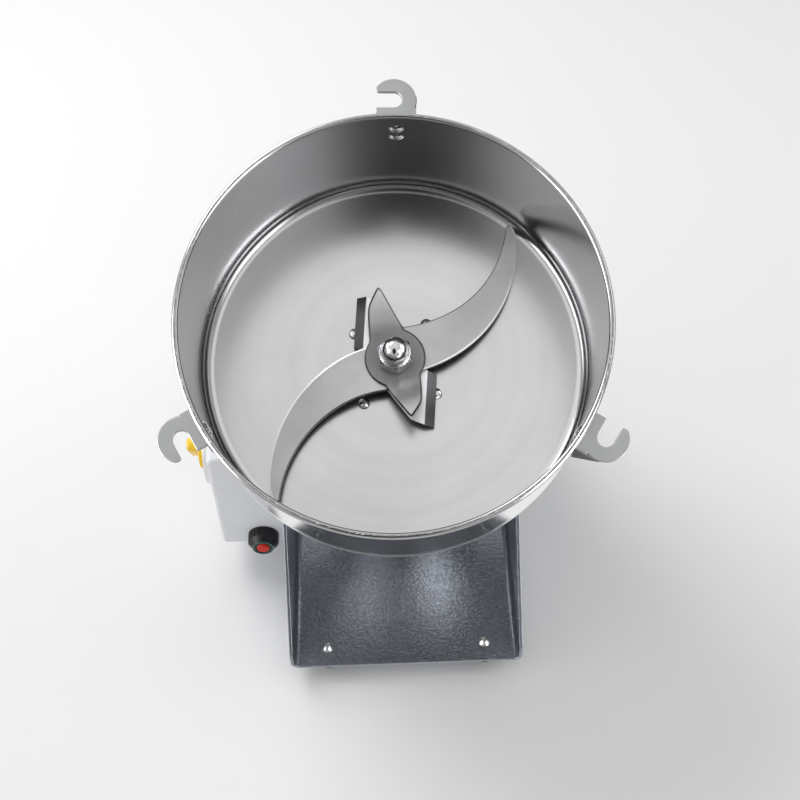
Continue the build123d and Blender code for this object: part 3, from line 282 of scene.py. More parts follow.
rays = new_node(room_tree, "ShaderNodeLightPath").outputs
even_room = glow(room_tree, "ShaderNodeBackground", WHITE, ROOM_LIGHT)
mirrored_room = glow(room_tree, "ShaderNodeBackground", mirrored)
white_room = glow(room_tree, "ShaderNodeBackground", WHITE)
seen = math_node(room_tree, "MAXIMUM", rays["Is Camera Ray"], rays["Is Transmission Ray"])
lighting = pick(room_tree, rays["Is Glossy Ray"], even_room, mirrored_room)
surround = new_node(room_tree, "ShaderNodeOutputWorld")
room_tree.links.new(pick(room_tree, seen, lighting, white_room), surround.inputs["Surface"])
bpy.context.scene.view_settings.view_transform = "Standard"
print("room light", ROOM_LIGHT)

# %% [markdown]
# Effects that several finishes share
#
# Each effect is a node group with a Vector input and outputs that change over the surface: a mask from 0 to 1 or
# a height. A finish then decides what the mask does, such as making a line a little rougher or darker. Images could
# carry the same lines and dents, but noise in Object coordinates has no seams and stays sharp from near by.

# %% Group helpers


def effect(name, outputs, numbers):
    """A shader node group with a Vector input, number inputs with their defaults, and float outputs."""
    group = bpy.data.node_groups.new(name, "ShaderNodeTree")
    group.interface.new_socket("Vector", in_out="INPUT", socket_type="NodeSocketVector")
    for label, value in numbers.items():
        socket = group.interface.new_socket(label, in_out="INPUT", socket_type="NodeSocketFloat")
        socket.default_value = value
    for label in outputs:
        group.interface.new_socket(label, in_out="OUTPUT", socket_type="NodeSocketFloat")
    return group, group.nodes.new("NodeGroupInput").outputs, group.nodes.new("NodeGroupOutput").inputs


def noise_node(group, vector, scale, detail, roughness):
    """A noise texture on a vector socket; scale is a socket or a number, and the result is its value socket."""
    node = new_node(group, "ShaderNodeTexNoise")
    set_inputs(node, {"Detail": detail, "Roughness": roughness})
    group.links.new(vector, node.inputs["Vector"])
    set_or_link(group, node.inputs["Scale"], scale)
    return node.outputs[0]


def stretch(group, value, low, high):
    """A mask that goes evenly from 0 at low to 1 at high, and is held beyond them."""
    return passage(group, value, low, high, curve="LINEAR")


def from_axis(group, vector):
    """A vector's parts x, y and z, and its distance from the Z axis, the root of x squared plus y squared."""
    apart = new_node(group, "ShaderNodeSeparateXYZ")
    group.links.new(vector, apart.inputs[0])
    x, y, z = apart.outputs
    squares = math_node(group, "ADD", math_node(group, "MULTIPLY", x, x), math_node(group, "MULTIPLY", y, y))
    return x, y, z, math_node(group, "SQRT", squares, 0.0)


# %% Spun lines, for drawn and turned steel
LEAST_RADIUS = 0.0001

spun_lines, entry, leave = effect("spun_lines", ["Lines"], {"Density": 900.0, "Arc": 0.002})
x, y, z, radius = from_axis(spun_lines, entry["Vector"])
safe_radius = math_node(spun_lines, "MAXIMUM", radius, LEAST_RADIUS)
along = math_node(spun_lines, "SUBTRACT", radius, z)
turn_x = math_node(spun_lines, "MULTIPLY", math_node(spun_lines, "DIVIDE", x, safe_radius), entry["Arc"])
turn_y = math_node(spun_lines, "MULTIPLY", math_node(spun_lines, "DIVIDE", y, safe_radius), entry["Arc"])
together = new_node(spun_lines, "ShaderNodeCombineXYZ")
for socket, source in zip(together.inputs, (along, turn_x, turn_y)):
    spun_lines.links.new(source, socket)
line_noise = noise_node(spun_lines, together.outputs[0], entry["Density"], 2.0, 0.5)
spun_lines.links.new(stretch(spun_lines, line_noise, 0.3, 0.7), leave["Lines"])
print("spun lines from", len(spun_lines.nodes), "nodes")

# %% Reach, the distance from the head's axis and the level along it
axis_reach, entry, leave = effect("axis_reach", ["Radius", "Level"], {})
_, _, level, radius = from_axis(axis_reach, entry["Vector"])
axis_reach.links.new(radius, leave["Radius"])
axis_reach.links.new(level, leave["Level"])
print("reach from", len(axis_reach.nodes), "nodes")

# %% Straight grain, for rolled and ground sheet
GRAIN_STRETCH = (0.03, 1.0, 1.0)

straight_grain, entry, leave = effect("straight_grain", ["Lines"], {"Density": 1400.0})
squeeze = new_node(straight_grain, "ShaderNodeMapping")
squeeze.inputs["Scale"].default_value = GRAIN_STRETCH
straight_grain.links.new(entry["Vector"], squeeze.inputs["Vector"])
grain_noise = noise_node(straight_grain, squeeze.outputs[0], entry["Density"], 3.0, 0.6)
straight_grain.links.new(stretch(straight_grain, grain_noise, 0.3, 0.7), leave["Lines"])
print("grain stretched by", GRAIN_STRETCH)

# %% Smudges, for the slow change of gloss on any handled surface
smudges, entry, leave = effect("smudges", ["Mask"], {"Scale": 25.0})
smudge_noise = noise_node(smudges, entry["Vector"], entry["Scale"], 5.0, 0.55)
smudges.links.new(stretch(smudges, smudge_noise, 0.35, 0.7), leave["Mask"])
print("smudges from", len(smudges.nodes), "nodes")

# %% Hammered skin, for the pebbled paint of the base
FINE_FINER = 2.6
FINE_SHARE = 0.35

hammered, entry, leave = effect("hammered", ["Height", "Shade"], {"Scale": 620.0})
coarse = noise_node(hammered, entry["Vector"], entry["Scale"], 2.0, 0.45)
fine_scale = math_node(hammered, "MULTIPLY", entry["Scale"], FINE_FINER)
fine = noise_node(hammered, entry["Vector"], fine_scale, 2.0, 0.5)
ripple = math_node(hammered, "ADD", coarse, math_node(hammered, "MULTIPLY", fine, FINE_SHARE))
hammered.links.new(ripple, leave["Height"])
hammered.links.new(stretch(hammered, coarse, 0.32, 0.68), leave["Shade"])
print("hammered skin with", FINE_SHARE, "of finer ripple")

# %% Moulded skin, for plastic, rubber and smooth paint
MOTTLE_SCALE = 60.0

moulded, entry, leave = effect("moulded", ["Height", "Mottle"], {"Scale": 1500.0})
moulded.links.new(noise_node(moulded, entry["Vector"], entry["Scale"], 3.0, 0.6), leave["Height"])
mottle_noise = noise_node(moulded, entry["Vector"], MOTTLE_SCALE, 4.0, 0.6)
moulded.links.new(stretch(moulded, mottle_noise, 0.3, 0.7), leave["Mottle"])
print("effects", [group.name for group in bpy.data.node_groups])

# %% [markdown]
# Finishes
#
# A finish is one material with a Principled BSDF. Values that are the same all over the surface are set on the
# shader's own sockets. An effect changes the colour between two tones, the roughness between two levels, and the
# normal by a shallow bump.

# %% Finish helpers
MIX_LOW, MIX_HIGH, MIX_RESULT = 6, 7, 2
finishes = {}


def finish(name, metallic, coat=0.0, coat_roughness=0.1, ior=1.5):
    """A new finish with its constant values set; the result is its tree and its shader."""
    material = bpy.data.materials.new(name)
    material.use_nodes = True
    shader = material.node_tree.nodes["Principled BSDF"]
    set_inputs(shader, {"Metallic": metallic, "Coat Weight": coat, "Coat Roughness": coat_roughness, "IOR": ior})
    finishes[name] = material
    return material.node_tree, shader


def place(tree, centre=(0, 0, 0), lean=0.0, turn=0.0):
    """Object coordinates moved so that a centre is the origin, then leant back about X and turned about Z."""
    coordinates = new_node(tree, "ShaderNodeTexCoord")
    shift = new_node(tree, "ShaderNodeVectorMath", "SUBTRACT")
    shift.inputs[1].default_value = centre
    mapping = new_node(tree, "ShaderNodeMapping")
    mapping.inputs["Rotation"].default_value = (radians(lean), 0, radians(turn))
    tree.links.new(coordinates.outputs["Object"], shift.inputs[0])
    tree.links.new(shift.outputs[0], mapping.inputs["Vector"])
    return mapping.outputs[0]


def use(tree, group, vector, **numbers):
    """Puts an effect into a material and sets its numbers; the result is the effect's outputs."""
    node = new_node(tree, "ShaderNodeGroup")
    node.node_tree = group
    tree.links.new(vector, node.inputs["Vector"])
    set_inputs(node, numbers)
    return node.outputs


def tone_between(tree, mask, low, high):
    """A colour from low to high by a mask, with the Mix node's colour sockets; low and high are colours or sockets."""
    mix = new_node(tree, "ShaderNodeMix")
    mix.data_type = "RGBA"
    tree.links.new(mask, mix.inputs[0])
    set_or_link(tree, mix.inputs[MIX_LOW], low)
    set_or_link(tree, mix.inputs[MIX_HIGH], high)
    return mix.outputs[MIX_RESULT]


def level_between(tree, mask, low, high):
    """A number that goes from low to high with a mask; low and high are numbers or sockets."""
    return passage(tree, mask, 0.0, 1.0, low, high, curve="LINEAR")


def two_tone(tree, shader, mask, low, high):
    """Base colour between two tones by a mask."""
    tree.links.new(tone_between(tree, mask, low, high), shader.inputs["Base Color"])


def two_gloss(tree, shader, mask, low, high):
    """Roughness between two levels by a mask."""
    tree.links.new(level_between(tree, mask, low, high), shader.inputs["Roughness"])


def relief(tree, shader, height, depth, strength):
    """A bump of a depth in metres into the shader's normal."""
    bump = new_node(tree, "ShaderNodeBump")
    set_inputs(bump, {"Strength": strength, "Distance": depth})
    tree.links.new(height, bump.inputs["Height"])
    tree.links.new(bump.outputs[0], shader.inputs["Normal"])


# %% Steel with one tone
COOL = 0.005
LINE_DEPTH = 0.00002
SPUN_RELIEF = 0.25
SPUN_HAZE = 18.0
SHEET_RELIEF = 0.2
SHEET_HAZE = 40.0
SHEET_DENSITY = 1400.0
GROUND_DENSITY = 2200.0


def grey(level):
    """The slightly cool grey of steel."""
    return (level, level, level + COOL)


def spun_steel(name, low, high, gloss, density):
    """Steel with circular lines round the head's axis."""
    tree, shader = finish(name, 1.0)
    lines = use(tree, spun_lines, place(tree, PIVOT, -TILT), Density=density)["Lines"]
    haze = use(tree, smudges, place(tree), Scale=SPUN_HAZE)["Mask"]
    two_tone(tree, shader, lines, low, high)
    two_gloss(tree, shader, haze, *gloss)
    relief(tree, shader, lines, LINE_DEPTH, SPUN_RELIEF)


def grain_in_head(tree, shader, gloss, turn, density=SHEET_DENSITY):
    """The gloss and the relief of straight grain, turned in the head's plane."""
    grain = use(tree, straight_grain, place(tree, PIVOT, -TILT, turn), Density=density)["Lines"]
    two_gloss(tree, shader, grain, *gloss)
    relief(tree, shader, grain, LINE_DEPTH, SHEET_RELIEF)


def sheet_steel(name, low, high, gloss, turn, density=SHEET_DENSITY):
    """Steel sheet with straight grain in the head's plane."""
    tree, shader = finish(name, 1.0)
    haze = use(tree, smudges, place(tree), Scale=SHEET_HAZE)["Mask"]
    two_tone(tree, shader, haze, low, high)
    grain_in_head(tree, shader, gloss, turn, density)


sheet_steel("blade_steel", grey(0.49), grey(0.57), (0.42, 0.54), 20)
# Two lit and shaded copies of the edge steel: a painted highlight for the blades' lit ground edges, and a painted
# shade for their shaded edges and the long blade's underside.
sheet_steel("ground_edge_highlight", grey(0.92), grey(0.96), (0.28, 0.38), 110, GROUND_DENSITY)
sheet_steel("edge_shade", (0.07, 0.07, 0.072), (0.11, 0.11, 0.112), (0.30, 0.40), 110, GROUND_DENSITY)
spun_steel("nut_chrome", grey(0.60), grey(0.66), (0.05, 0.10), 1500.0)
spun_steel("zinc", (0.58, 0.58, 0.565), (0.68, 0.68, 0.665), (0.22, 0.36), 1500.0)
spun_steel("shaft_steel", grey(0.52), grey(0.62), (0.18, 0.28), 1800.0)
spun_steel("core_steel", grey(0.14), grey(0.24), (0.42, 0.55), 1200.0)
spun_steel("copper", (0.50, 0.21, 0.10), (0.66, 0.30, 0.15), (0.28, 0.42), 1600.0)
spun_steel("bronze", (0.46, 0.31, 0.14), (0.56, 0.39, 0.19), (0.30, 0.42), 1200.0)
print("metals", sorted(finishes))

# %% [markdown]
# Steel with two tones
#
# The hooks have a painted shade on their underside, the lower blade a painted shade on its flaps and a painted
# reflection on its bright flat part, and the upper blade grows lighter from its hub to the tips of its wings, a
# painted reflection of its bend. A material for each face would end in hard steps. So these finishes change with
# the place on the head: with the level along its axis, or with the distance from it.

# %% Steel of the hooks and the short blades
# Tones of painted shade and painted reflection on the hooks and the short blades.
HOOK_UNDERSIDE = (0.1154, 0.1162)
HOOK_PAINTED_SHADE = (0.02, 0.02, 0.021)
FLAP_FOLD = (0.0390, 0.0394)
FLAT_REFLECTION_TONE = grey(0.90)
WING_RUN = (0.014, 0.038)
WING_HUB_SHADE = grey(0.232)
WING_TIP_REFLECTION = grey(0.64)


def graded_steel(name, way, run, before, after, gloss, turn):
    """Sheet steel with one tone before a run and another after it, along the head's Level or its Radius.

    A tone is a pair of colours, which slow smudges mix.
    """
    tree, shader = finish(name, 1.0)
    reach = use(tree, axis_reach, place(tree, PIVOT, -TILT))[way]
    haze = use(tree, smudges, place(tree), Scale=SHEET_HAZE)["Mask"]
    tones = [tone_between(tree, haze, *pair) for pair in (before, after)]
    two_tone(tree, shader, passage(tree, reach, *run), *tones)
    grain_in_head(tree, shader, gloss, turn)


# Painted shade under the hook plates and on the flaps, a painted reflection on the lower blade's flat part, and a
# painted reflection growing towards the upper blade's wing tips.
graded_steel("hook_steel", "Level", HOOK_UNDERSIDE, (HOOK_PAINTED_SHADE, HOOK_PAINTED_SHADE),
             ((0.335, 0.34, 0.345), (0.385, 0.39, 0.395)), (0.30, 0.42), 30)
graded_steel("flap_steel", "Level", FLAP_FOLD, (grey(0.125), grey(0.165)),
             (FLAT_REFLECTION_TONE, FLAT_REFLECTION_TONE), (0.30, 0.42), -5)
graded_steel("wing_steel", "Radius", WING_RUN, (WING_HUB_SHADE, WING_HUB_SHADE),
             (WING_TIP_REFLECTION, WING_TIP_REFLECTION), (0.42, 0.55), 100)
print("hook plates start at level", HOOK_UNDERSIDE[1], "and flaps fold at level", FLAP_FOLD[1])

# %% [markdown]
# Steel of the pot
#
# The floor is brushed in rings, with soft clouds. The wall and, still more, the corner below it have a painted shade:
# a darker tone that stands in for the room of the real pot, which was darker at its sides than this one, and for the
# dark band where wall and floor meet. Outside, the wall is bright, the rim has a painted shade that dims its
# reflections, and the lower edge is rougher, so that it stands out from the base.

# %% Steel of the pot
POT_BRIGHT = grey(0.82)
# Painted shade: the tones of the inner wall, of the corner at the floor and of the rim.
POT_WALL_SHADE = (0.33, 0.333, 0.34)
POT_CORNER_SHADE = (0.20, 0.202, 0.206)
RIM_SHADE = grey(0.45)
OUTSIDE_RADIUS = (0.1154, 0.1162)
CORNER_START = (0.03015, 0.0308)
CORNER_END = (0.0335, 0.0385)
RIM_START = (0.1185, 0.1192)
POLISH_START = (0.034, 0.055)
WALL_GLOSS = 0.19
FLOOR_GLOSS = (0.215, 0.245)
OUTER_GLOSS = (0.34, 0.14)
POT_RELIEF = 0.08

tree, shader = finish("pot_steel", 1.0)
in_head = place(tree, PIVOT, -TILT)
reach = use(tree, axis_reach, in_head)
lines = use(tree, spun_lines, in_head, Density=700.0)["Lines"]
rings = use(tree, spun_lines, in_head, Density=75.0)["Lines"]
clouds = use(tree, smudges, in_head, Scale=14.0)["Mask"]
haze = use(tree, smudges, in_head, Scale=20.0)["Mask"]
outside = passage(tree, reach["Radius"], *OUTSIDE_RADIUS)
up_wall, past_corner, on_rim, polished = [
    passage(tree, reach["Level"], *run) for run in (CORNER_START, CORNER_END, RIM_START, POLISH_START)]
in_valley = tone_between(tree, clouds, grey(0.59), grey(0.65))
on_ridge = tone_between(tree, clouds, grey(0.635), grey(0.695))
floor_tone = tone_between(tree, rings, in_valley, on_ridge)
# The wall, the corner and the rim get a painted shade; the floor and the outer wall keep their own tones.
wall_shade = tone_between(tree, past_corner, POT_CORNER_SHADE, POT_WALL_SHADE)
floor_and_wall_shade = tone_between(tree, up_wall, floor_tone, wall_shade)
outer_and_rim_shade = tone_between(tree, on_rim, POT_BRIGHT, RIM_SHADE)
two_tone(tree, shader, outside, floor_and_wall_shade, outer_and_rim_shade)
inner_gloss = level_between(tree, up_wall, level_between(tree, haze, *FLOOR_GLOSS), WALL_GLOSS)
outer_gloss = level_between(tree, polished, *OUTER_GLOSS)
two_gloss(tree, shader, outside, inner_gloss, outer_gloss)
relief(tree, shader, lines, LINE_DEPTH, POT_RELIEF)
print("pot: brushed floor, polished wall")

# %% [markdown]
# Paint, plastic, rubber and cast metal
#
# The control box and the motor are sprayed, the knob, the dial and the breaker are moulded, the feet are rubber, and
# the motor's brackets are castings. All of them are smooth but never quite even: colour and gloss change slowly, and
# fine pores break up the reflections. Each could have a tree of its own, but one recipe with a few numbers gives all.

# %% Paint, plastic, rubber and cast metal


def skin(name, low, high, gloss, metallic=0.0, ior=1.5, scale=1500.0, depth=0.00003, strength=0.3):
    """A moulded or sprayed surface: slow mottle in colour and gloss, fine pores in the normal."""
    tree, shader = finish(name, metallic, ior=ior)
    pores = use(tree, moulded, place(tree), Scale=scale)
    two_tone(tree, shader, pores["Mottle"], low, high)
    two_gloss(tree, shader, pores["Mottle"], *gloss)
    relief(tree, shader, pores["Height"], depth, strength)


skin("box_paint", (0.80, 0.81, 0.84), (0.84, 0.85, 0.88), (0.34, 0.42), scale=900.0)
skin("foot_rubber", (0.018, 0.018, 0.019), (0.035, 0.035, 0.036), (0.7, 0.85), depth=0.00006)
skin("knob_yellow", (0.94, 0.60, 0.012), (0.97, 0.65, 0.018), (0.34, 0.42))
skin("dial_white", (0.80, 0.80, 0.78), (0.86, 0.86, 0.84), (0.28, 0.36))
skin("black_plastic", (0.008, 0.008, 0.009), (0.016, 0.016, 0.018), (0.42, 0.54), ior=1.3, depth=0.00005)
skin("button_red", (0.66, 0.020, 0.008), (0.72, 0.030, 0.012), (0.40, 0.48), ior=1.3)
skin("ring_green", (0.010, 0.075, 0.062), (0.018, 0.11, 0.092), (0.16, 0.24))
skin("cast_alloy", (0.46, 0.46, 0.47), (0.58, 0.58, 0.585), (0.42, 0.56), metallic=1.0, scale=700.0, depth=0.0002)
skin("motor_paint", (0.70, 0.71, 0.72), (0.77, 0.78, 0.79), (0.16, 0.22), metallic=1.0, scale=500.0, depth=0.00002)
skin("carbon", (0.02, 0.02, 0.02), (0.04, 0.04, 0.04), (0.55, 0.7))
print("finishes so far", len(finishes))

# %% [markdown]
# Hammered paint
#
# The base is sprayed with a grey hammered paint, whose skin draws together into thousands of shallow dents. Modelled
# dents would need far too many faces, so two layers of noise make a bump. The broader layer also changes the tone and
# the gloss a little, and a thin clear coat gives the shine.

# %% Hammered paint of the base
DENT_SCALE = 620.0
DENT_DEPTH = 0.0008
DENT_RELIEF = 0.25

tree, shader = finish("base_paint", 0.75, coat=0.2, coat_roughness=0.2)
dents = use(tree, hammered, place(tree), Scale=DENT_SCALE)
two_tone(tree, shader, dents["Shade"], (0.222, 0.237, 0.267), (0.288, 0.307, 0.343))
two_gloss(tree, shader, dents["Shade"], 0.15, 0.20)
relief(tree, shader, dents["Height"], DENT_DEPTH, DENT_RELIEF)
print(len(finishes), "finishes")

# %% [markdown]
# Finishes on the CAD nodes
#
# Each node takes the finish of its slot, apart from three with a finish of their own. The overload breaker is seen
# by the camera but not in mirrors: the pot's curved wall would stretch its red and black into a stripe that the
# photograph doesn't show.

# %% Finishes on the CAD nodes
NOT_IN_MIRRORS = ("reset_button", "button_ring", "breaker_collar", "breaker_body")
OWN_FINISH = {"lower_blade": "flap_steel", "hook_rivets": "nut_chrome", "floor_screws": "nut_chrome"}

for name, node in nodes.items():
    node.data.materials.clear()
    node.data.materials.append(finishes[OWN_FINISH.get(name, slot_of[name])])
for name in NOT_IN_MIRRORS:
    nodes[name].visible_glossy = False
print("dressed", len(nodes), "nodes")

# %% [markdown]
# The pot
#
# The pot is the largest mirror in the picture, so it is turned again here with a finer outline than the CAD mesh
# has. Its outline has the sizes of the solid, apart from a tighter corner at the floor: a flat floor with a hole for
# the shaft's seal, a straight wall and a rolled rim. A Screw modifier could turn the outline too, but a grid of
# points, outline by angle, closes without a seam and needs no modifier.

# %% Turned surfaces


def rounded_outline(corners, radii, steps=12, guard=0.0004):
    """A closed outline with an arc at each corner.

    Between two sides that meet at an angle A, an arc of radius r starts and ends r / tan(A / 2) from the corner,
    and its centre lies on the middle line, r / sin(A / 2) from the corner. A guard point stands just outside both
    ends of the arc, so that the flat sides keep their own normal.
    """
    corners = np.asarray(corners)
    radii = np.asarray(radii)[:, None]
    into = np.roll(corners, 1, axis=0) - corners
    away = np.roll(corners, -1, axis=0) - corners
    into = into / np.linalg.norm(into, axis=1, keepdims=True)
    away = away / np.linalg.norm(away, axis=1, keepdims=True)
    half = np.arccos(np.sum(into * away, axis=1, keepdims=True)) / 2
    middle = (into + away) / np.linalg.norm(into + away, axis=1, keepdims=True)
    centres = corners + middle * radii / np.sin(half)
    first = corners + into * radii / np.tan(half)
    last = corners + away * radii / np.tan(half)
    start = np.arctan2(*(first - centres).T[::-1])
    sweep = np.arctan2(*(last - centres).T[::-1]) - start
    sweep = (sweep + np.pi) % (2 * np.pi) - np.pi
    angle = start[:, None] + sweep[:, None] * np.linspace(0, 1, steps + 1)
    arcs = centres[:, None] + radii[:, None] * np.stack([np.cos(angle), np.sin(angle)], axis=2)
    before, after = first + into * guard, last + away * guard
    return np.concatenate([before[:, None], arcs, after[:, None]], axis=1).reshape(-1, 2)


def add_piece(name, mesh, materials, body):
    """An object of a mesh with its materials, which rides on a body."""
    for material in materials:
        mesh.materials.append(material)
    piece = bpy.data.objects.new(name, mesh)
    bpy.context.scene.collection.objects.link(piece)
    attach(piece, body)
    return piece


def grid_piece(name, points, materials, body, closed=True, sharp=(), finish_of=0):
    """A tube of faces over a grid of points, whose columns close into a loop.

    Rows close into a ring, or where closed is False the first and the last row each get one flat end face. Edges
    along the columns named in sharp are sharp. finish_of gives each face's material, as a number or a grid.
    """
    rows, columns = points.shape[:2]
    number = np.arange(rows * columns).reshape(rows, columns)
    next_row = np.roll(number, -1, axis=0)
    quads = np.stack([number, next_row, np.roll(next_row, -1, axis=1), np.roll(number, -1, axis=1)], axis=2)
    material_of = np.broadcast_to(finish_of, (rows, columns))
    corners = quads.ravel()
    sizes = np.full(rows * columns, 4)
    if not closed:
        corners = np.concatenate([quads[:-1].ravel(), number[0], number[-1, ::-1]])
        sizes = np.append(np.full((rows - 1) * columns, 4), [columns, columns])
        material_of = np.append(material_of[:-1].ravel(), [0, 0])
    mesh = bpy.data.meshes.new(name)
    mesh.vertices.add(rows * columns)
    mesh.vertices.foreach_set("co", points.ravel())
    mesh.loops.add(len(corners))
    mesh.loops.foreach_set("vertex_index", corners)
    mesh.polygons.add(len(sizes))
    mesh.polygons.foreach_set("loop_start", np.cumsum(sizes) - sizes)
    mesh.polygons.foreach_set("material_index", np.ravel(material_of).astype(np.int32))
    mesh.polygons.foreach_set("use_smooth", np.ones(len(sizes), dtype=bool))
    mesh.update(calc_edges=True)
    ends = np.empty(2 * len(mesh.edges), dtype=np.int32)
    mesh.edges.foreach_get("vertices", ends)
    column_of = ends.reshape(-1, 2) % columns
    on_sharp = (column_of[:, 0] == column_of[:, 1]) & np.isin(column_of[:, 0], sharp)
    mesh.attributes.new("sharp_edge", "BOOLEAN", "EDGE").data.foreach_set("value", on_sharp)
    return add_piece(name, mesh, materials, body)


def turn_round_axis(outline, turns):
    """Points of a turned surface: an outline point at radius r and level h goes to
    PIVOT + r (cos u RIGHT + sin u BACK) + h OUT, with the angle u in equal steps round the circle."""
    angle = np.linspace(0, 2 * np.pi, turns, endpoint=False)[:, None, None]
    ring = np.cos(angle) * RIGHT + np.sin(angle) * BACK
    return PIVOT + ring * outline[None, :, :1] + OUT * outline[None, :, 1:]


# %% Pot
POT_RADIUS = 0.115
POT_WALL = 0.0015
POT_FLOOR = 0.030
POT_RIM = 0.125
BEAD_REACH = 0.002
BEAD_HEIGHT = 0.006
SEAL_HOLE = 0.0158
FLOOR_CORNER = 0.0065
HOLE_ROUND = 0.0003
BEAD_FILLET = 0.0004
BEAD_UNDER_ROUND = 0.0014
RIM_ROUND = 0.0016
POT_TURNS = 480

pot_outer = POT_RADIUS + POT_WALL
pot_outline = rounded_outline(
    [(SEAL_HOLE, POT_FLOOR - POT_WALL), (pot_outer, POT_FLOOR - POT_WALL), (pot_outer, POT_RIM - BEAD_HEIGHT),
     (pot_outer + BEAD_REACH, POT_RIM - BEAD_HEIGHT), (pot_outer + BEAD_REACH, POT_RIM), (POT_RADIUS, POT_RIM),
     (POT_RADIUS, POT_FLOOR), (SEAL_HOLE, POT_FLOOR)],
    [HOLE_ROUND, FLOOR_CORNER + POT_WALL, BEAD_FILLET, BEAD_UNDER_ROUND, RIM_ROUND, RIM_ROUND, FLOOR_CORNER,
     HOLE_ROUND])
pot_points = turn_round_axis(pot_outline, POT_TURNS)
pot_shell = grid_piece("pot_shell", pot_points, [finishes["pot_steel"]], "head")
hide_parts("pot")
print("pot", len(pot_shell.data.polygons), "faces")

# %% [markdown]
# The blades
#
# Three sheet blades are clamped under the nut: a long one in an S, a short one with wings bent up, and a lower one
# with flaps bent down. The long blade and the upper one catch the eye, and the long triangles of their CAD meshes
# would show in the steel. So they are worked out here as surfaces with a ground line along their edges. In plan both
# are given in the head's own directions, RIGHT and BACK, and a height function then bends the flat sheet.

# %% Long blade, plan
BLADE_TIP = 0.1095
BLADE_HUB = 0.0180
BACK_CENTRE = np.array([-0.0055, 0.0709])
BACK_RADIUS = 0.0814
EDGE_CENTRE = np.array([-0.0002, 0.0897])
EDGE_RADIUS = 0.0708
EDGE_START = 0.01892
TIP_ROUND = 0.0034
TIP_END_ANGLE = 0.15
ARM_STEPS = 90
TIP_STEPS = 14
HUB_STEPS = 24


def arc_angle(centre, radius, reach):
    """Direction, seen from the axis, of the point of an arc at a reach from the axis.

    With D and C the distance and the direction of the arc's centre, the law of cosines gives the angle from C as
    arccos((reach squared + D squared - radius squared) / (2 reach D)), and the arm is on the clockwise side.
    """
    distance = np.hypot(*centre)
    cosine = (reach**2 + distance**2 - radius**2) / (2 * reach * distance)
    return np.arctan2(centre[1], centre[0]) - np.arccos(np.clip(cosine, -1, 1))


def polar(reach, angle):
    """Plan points at a reach from the axis in a direction."""
    return np.stack([reach * np.cos(angle), reach * np.sin(angle)], axis=-1)


quarter = np.linspace(TIP_END_ANGLE, np.pi / 2, TIP_STEPS)
tip_reach = BLADE_TIP - TIP_ROUND * (1 - np.cos(quarter))
arm_part = np.linspace(1, 0, ARM_STEPS)[1:]
arm_reach = np.concatenate([tip_reach, EDGE_START + (tip_reach[-1] - EDGE_START) * arm_part**2])
arm_open = np.concatenate([np.sin(quarter), np.ones(ARM_STEPS - 1)])
edge_angle = arc_angle(EDGE_CENTRE, EDGE_RADIUS, arm_reach)
back_angle = arc_angle(BACK_CENTRE, BACK_RADIUS, arm_reach)
middle_angle = (edge_angle + back_angle) / 2
arm_edge = polar(arm_reach, middle_angle + (edge_angle - middle_angle) * arm_open)
arm_back = polar(arm_reach, middle_angle + (back_angle - middle_angle) * arm_open)
hub_side = polar(BLADE_HUB, np.linspace(edge_angle[-1], back_angle[-1] + np.pi, HUB_STEPS + 2)[1:-1])
side_a = np.concatenate([arm_edge, hub_side, -arm_back[::-1]])
side_b = -side_a[::-1]
print("long blade", len(side_a), "sections")

# %% Long blade, sheet
BLADE_LEVEL = 0.0395
BLADE_SHEET = 0.003
ARM_HEADING = radians(20.0)
ARM_DROP = 0.004
ARM_CURVE_START = 0.020
ARM_CURVE_END = 0.075
BACK_GROUND = 0.0010
EDGE_GROUND = 0.0005
GROUND_DEPTH = 0.00016
ACROSS_STEPS = 24
# Finish numbers of the blades' faces: 1 carries a painted highlight, 2 a painted shade.
BRIGHT, DARK = 1, 2


def arm_height(plan):
    """Height of the bent sheet: with u the distance from the middle along the heading, flat to the start of the
    curve, then down by the drop times 3 q squared - 2 q cubed, with q the share of the curve that is passed."""
    along = np.abs(plan[..., 0] * np.cos(ARM_HEADING) + plan[..., 1] * np.sin(ARM_HEADING))
    share = np.clip((along - ARM_CURVE_START) / (ARM_CURVE_END - ARM_CURVE_START), 0, 1)
    return -ARM_DROP * share**2 * (3 - 2 * share)


def inwards(side, width, hand):
    """A side's points moved into the blade by a width, at a right angle to the side; hand is 1 where the blade
    lies on the left of the side's run and -1 where it lies on the right."""
    run = np.gradient(side, axis=0)
    run = run / np.linalg.norm(run, axis=1, keepdims=True)
    return side + hand * width[:, None] * np.stack([-run[:, 1], run[:, 0]], axis=1)


def on_head(plan, level):
    """Plan points and levels on the head, in the frame of the CAD model."""
    return PIVOT + plan[..., :1] * RIGHT + plan[..., 1:] * BACK + level[..., None] * OUT


sections = len(side_a)
arm_rows = len(arm_reach)
ground_a = np.interp(np.arange(sections), [arm_rows, sections - arm_rows], [EDGE_GROUND, BACK_GROUND])
inner_a = inwards(side_a, ground_a, 1)
inner_b = inwards(side_b, ground_a[::-1], -1)
share = np.linspace(0, 1, ACROSS_STEPS)[None, :, None]
top = inner_a[:, None] * (1 - share) + inner_b[:, None] * share
under = side_b[:, None] * (1 - share) + side_a[:, None] * share
blade_plan = np.concatenate([top, side_b[:, None], under, side_a[:, None]], axis=1)
above = np.concatenate([np.full(ACROSS_STEPS, BLADE_SHEET), [BLADE_SHEET - GROUND_DEPTH], np.zeros(ACROSS_STEPS),
                        [BLADE_SHEET - GROUND_DEPTH]])
blade_points = on_head(blade_plan, BLADE_LEVEL + arm_height(blade_plan) + above)
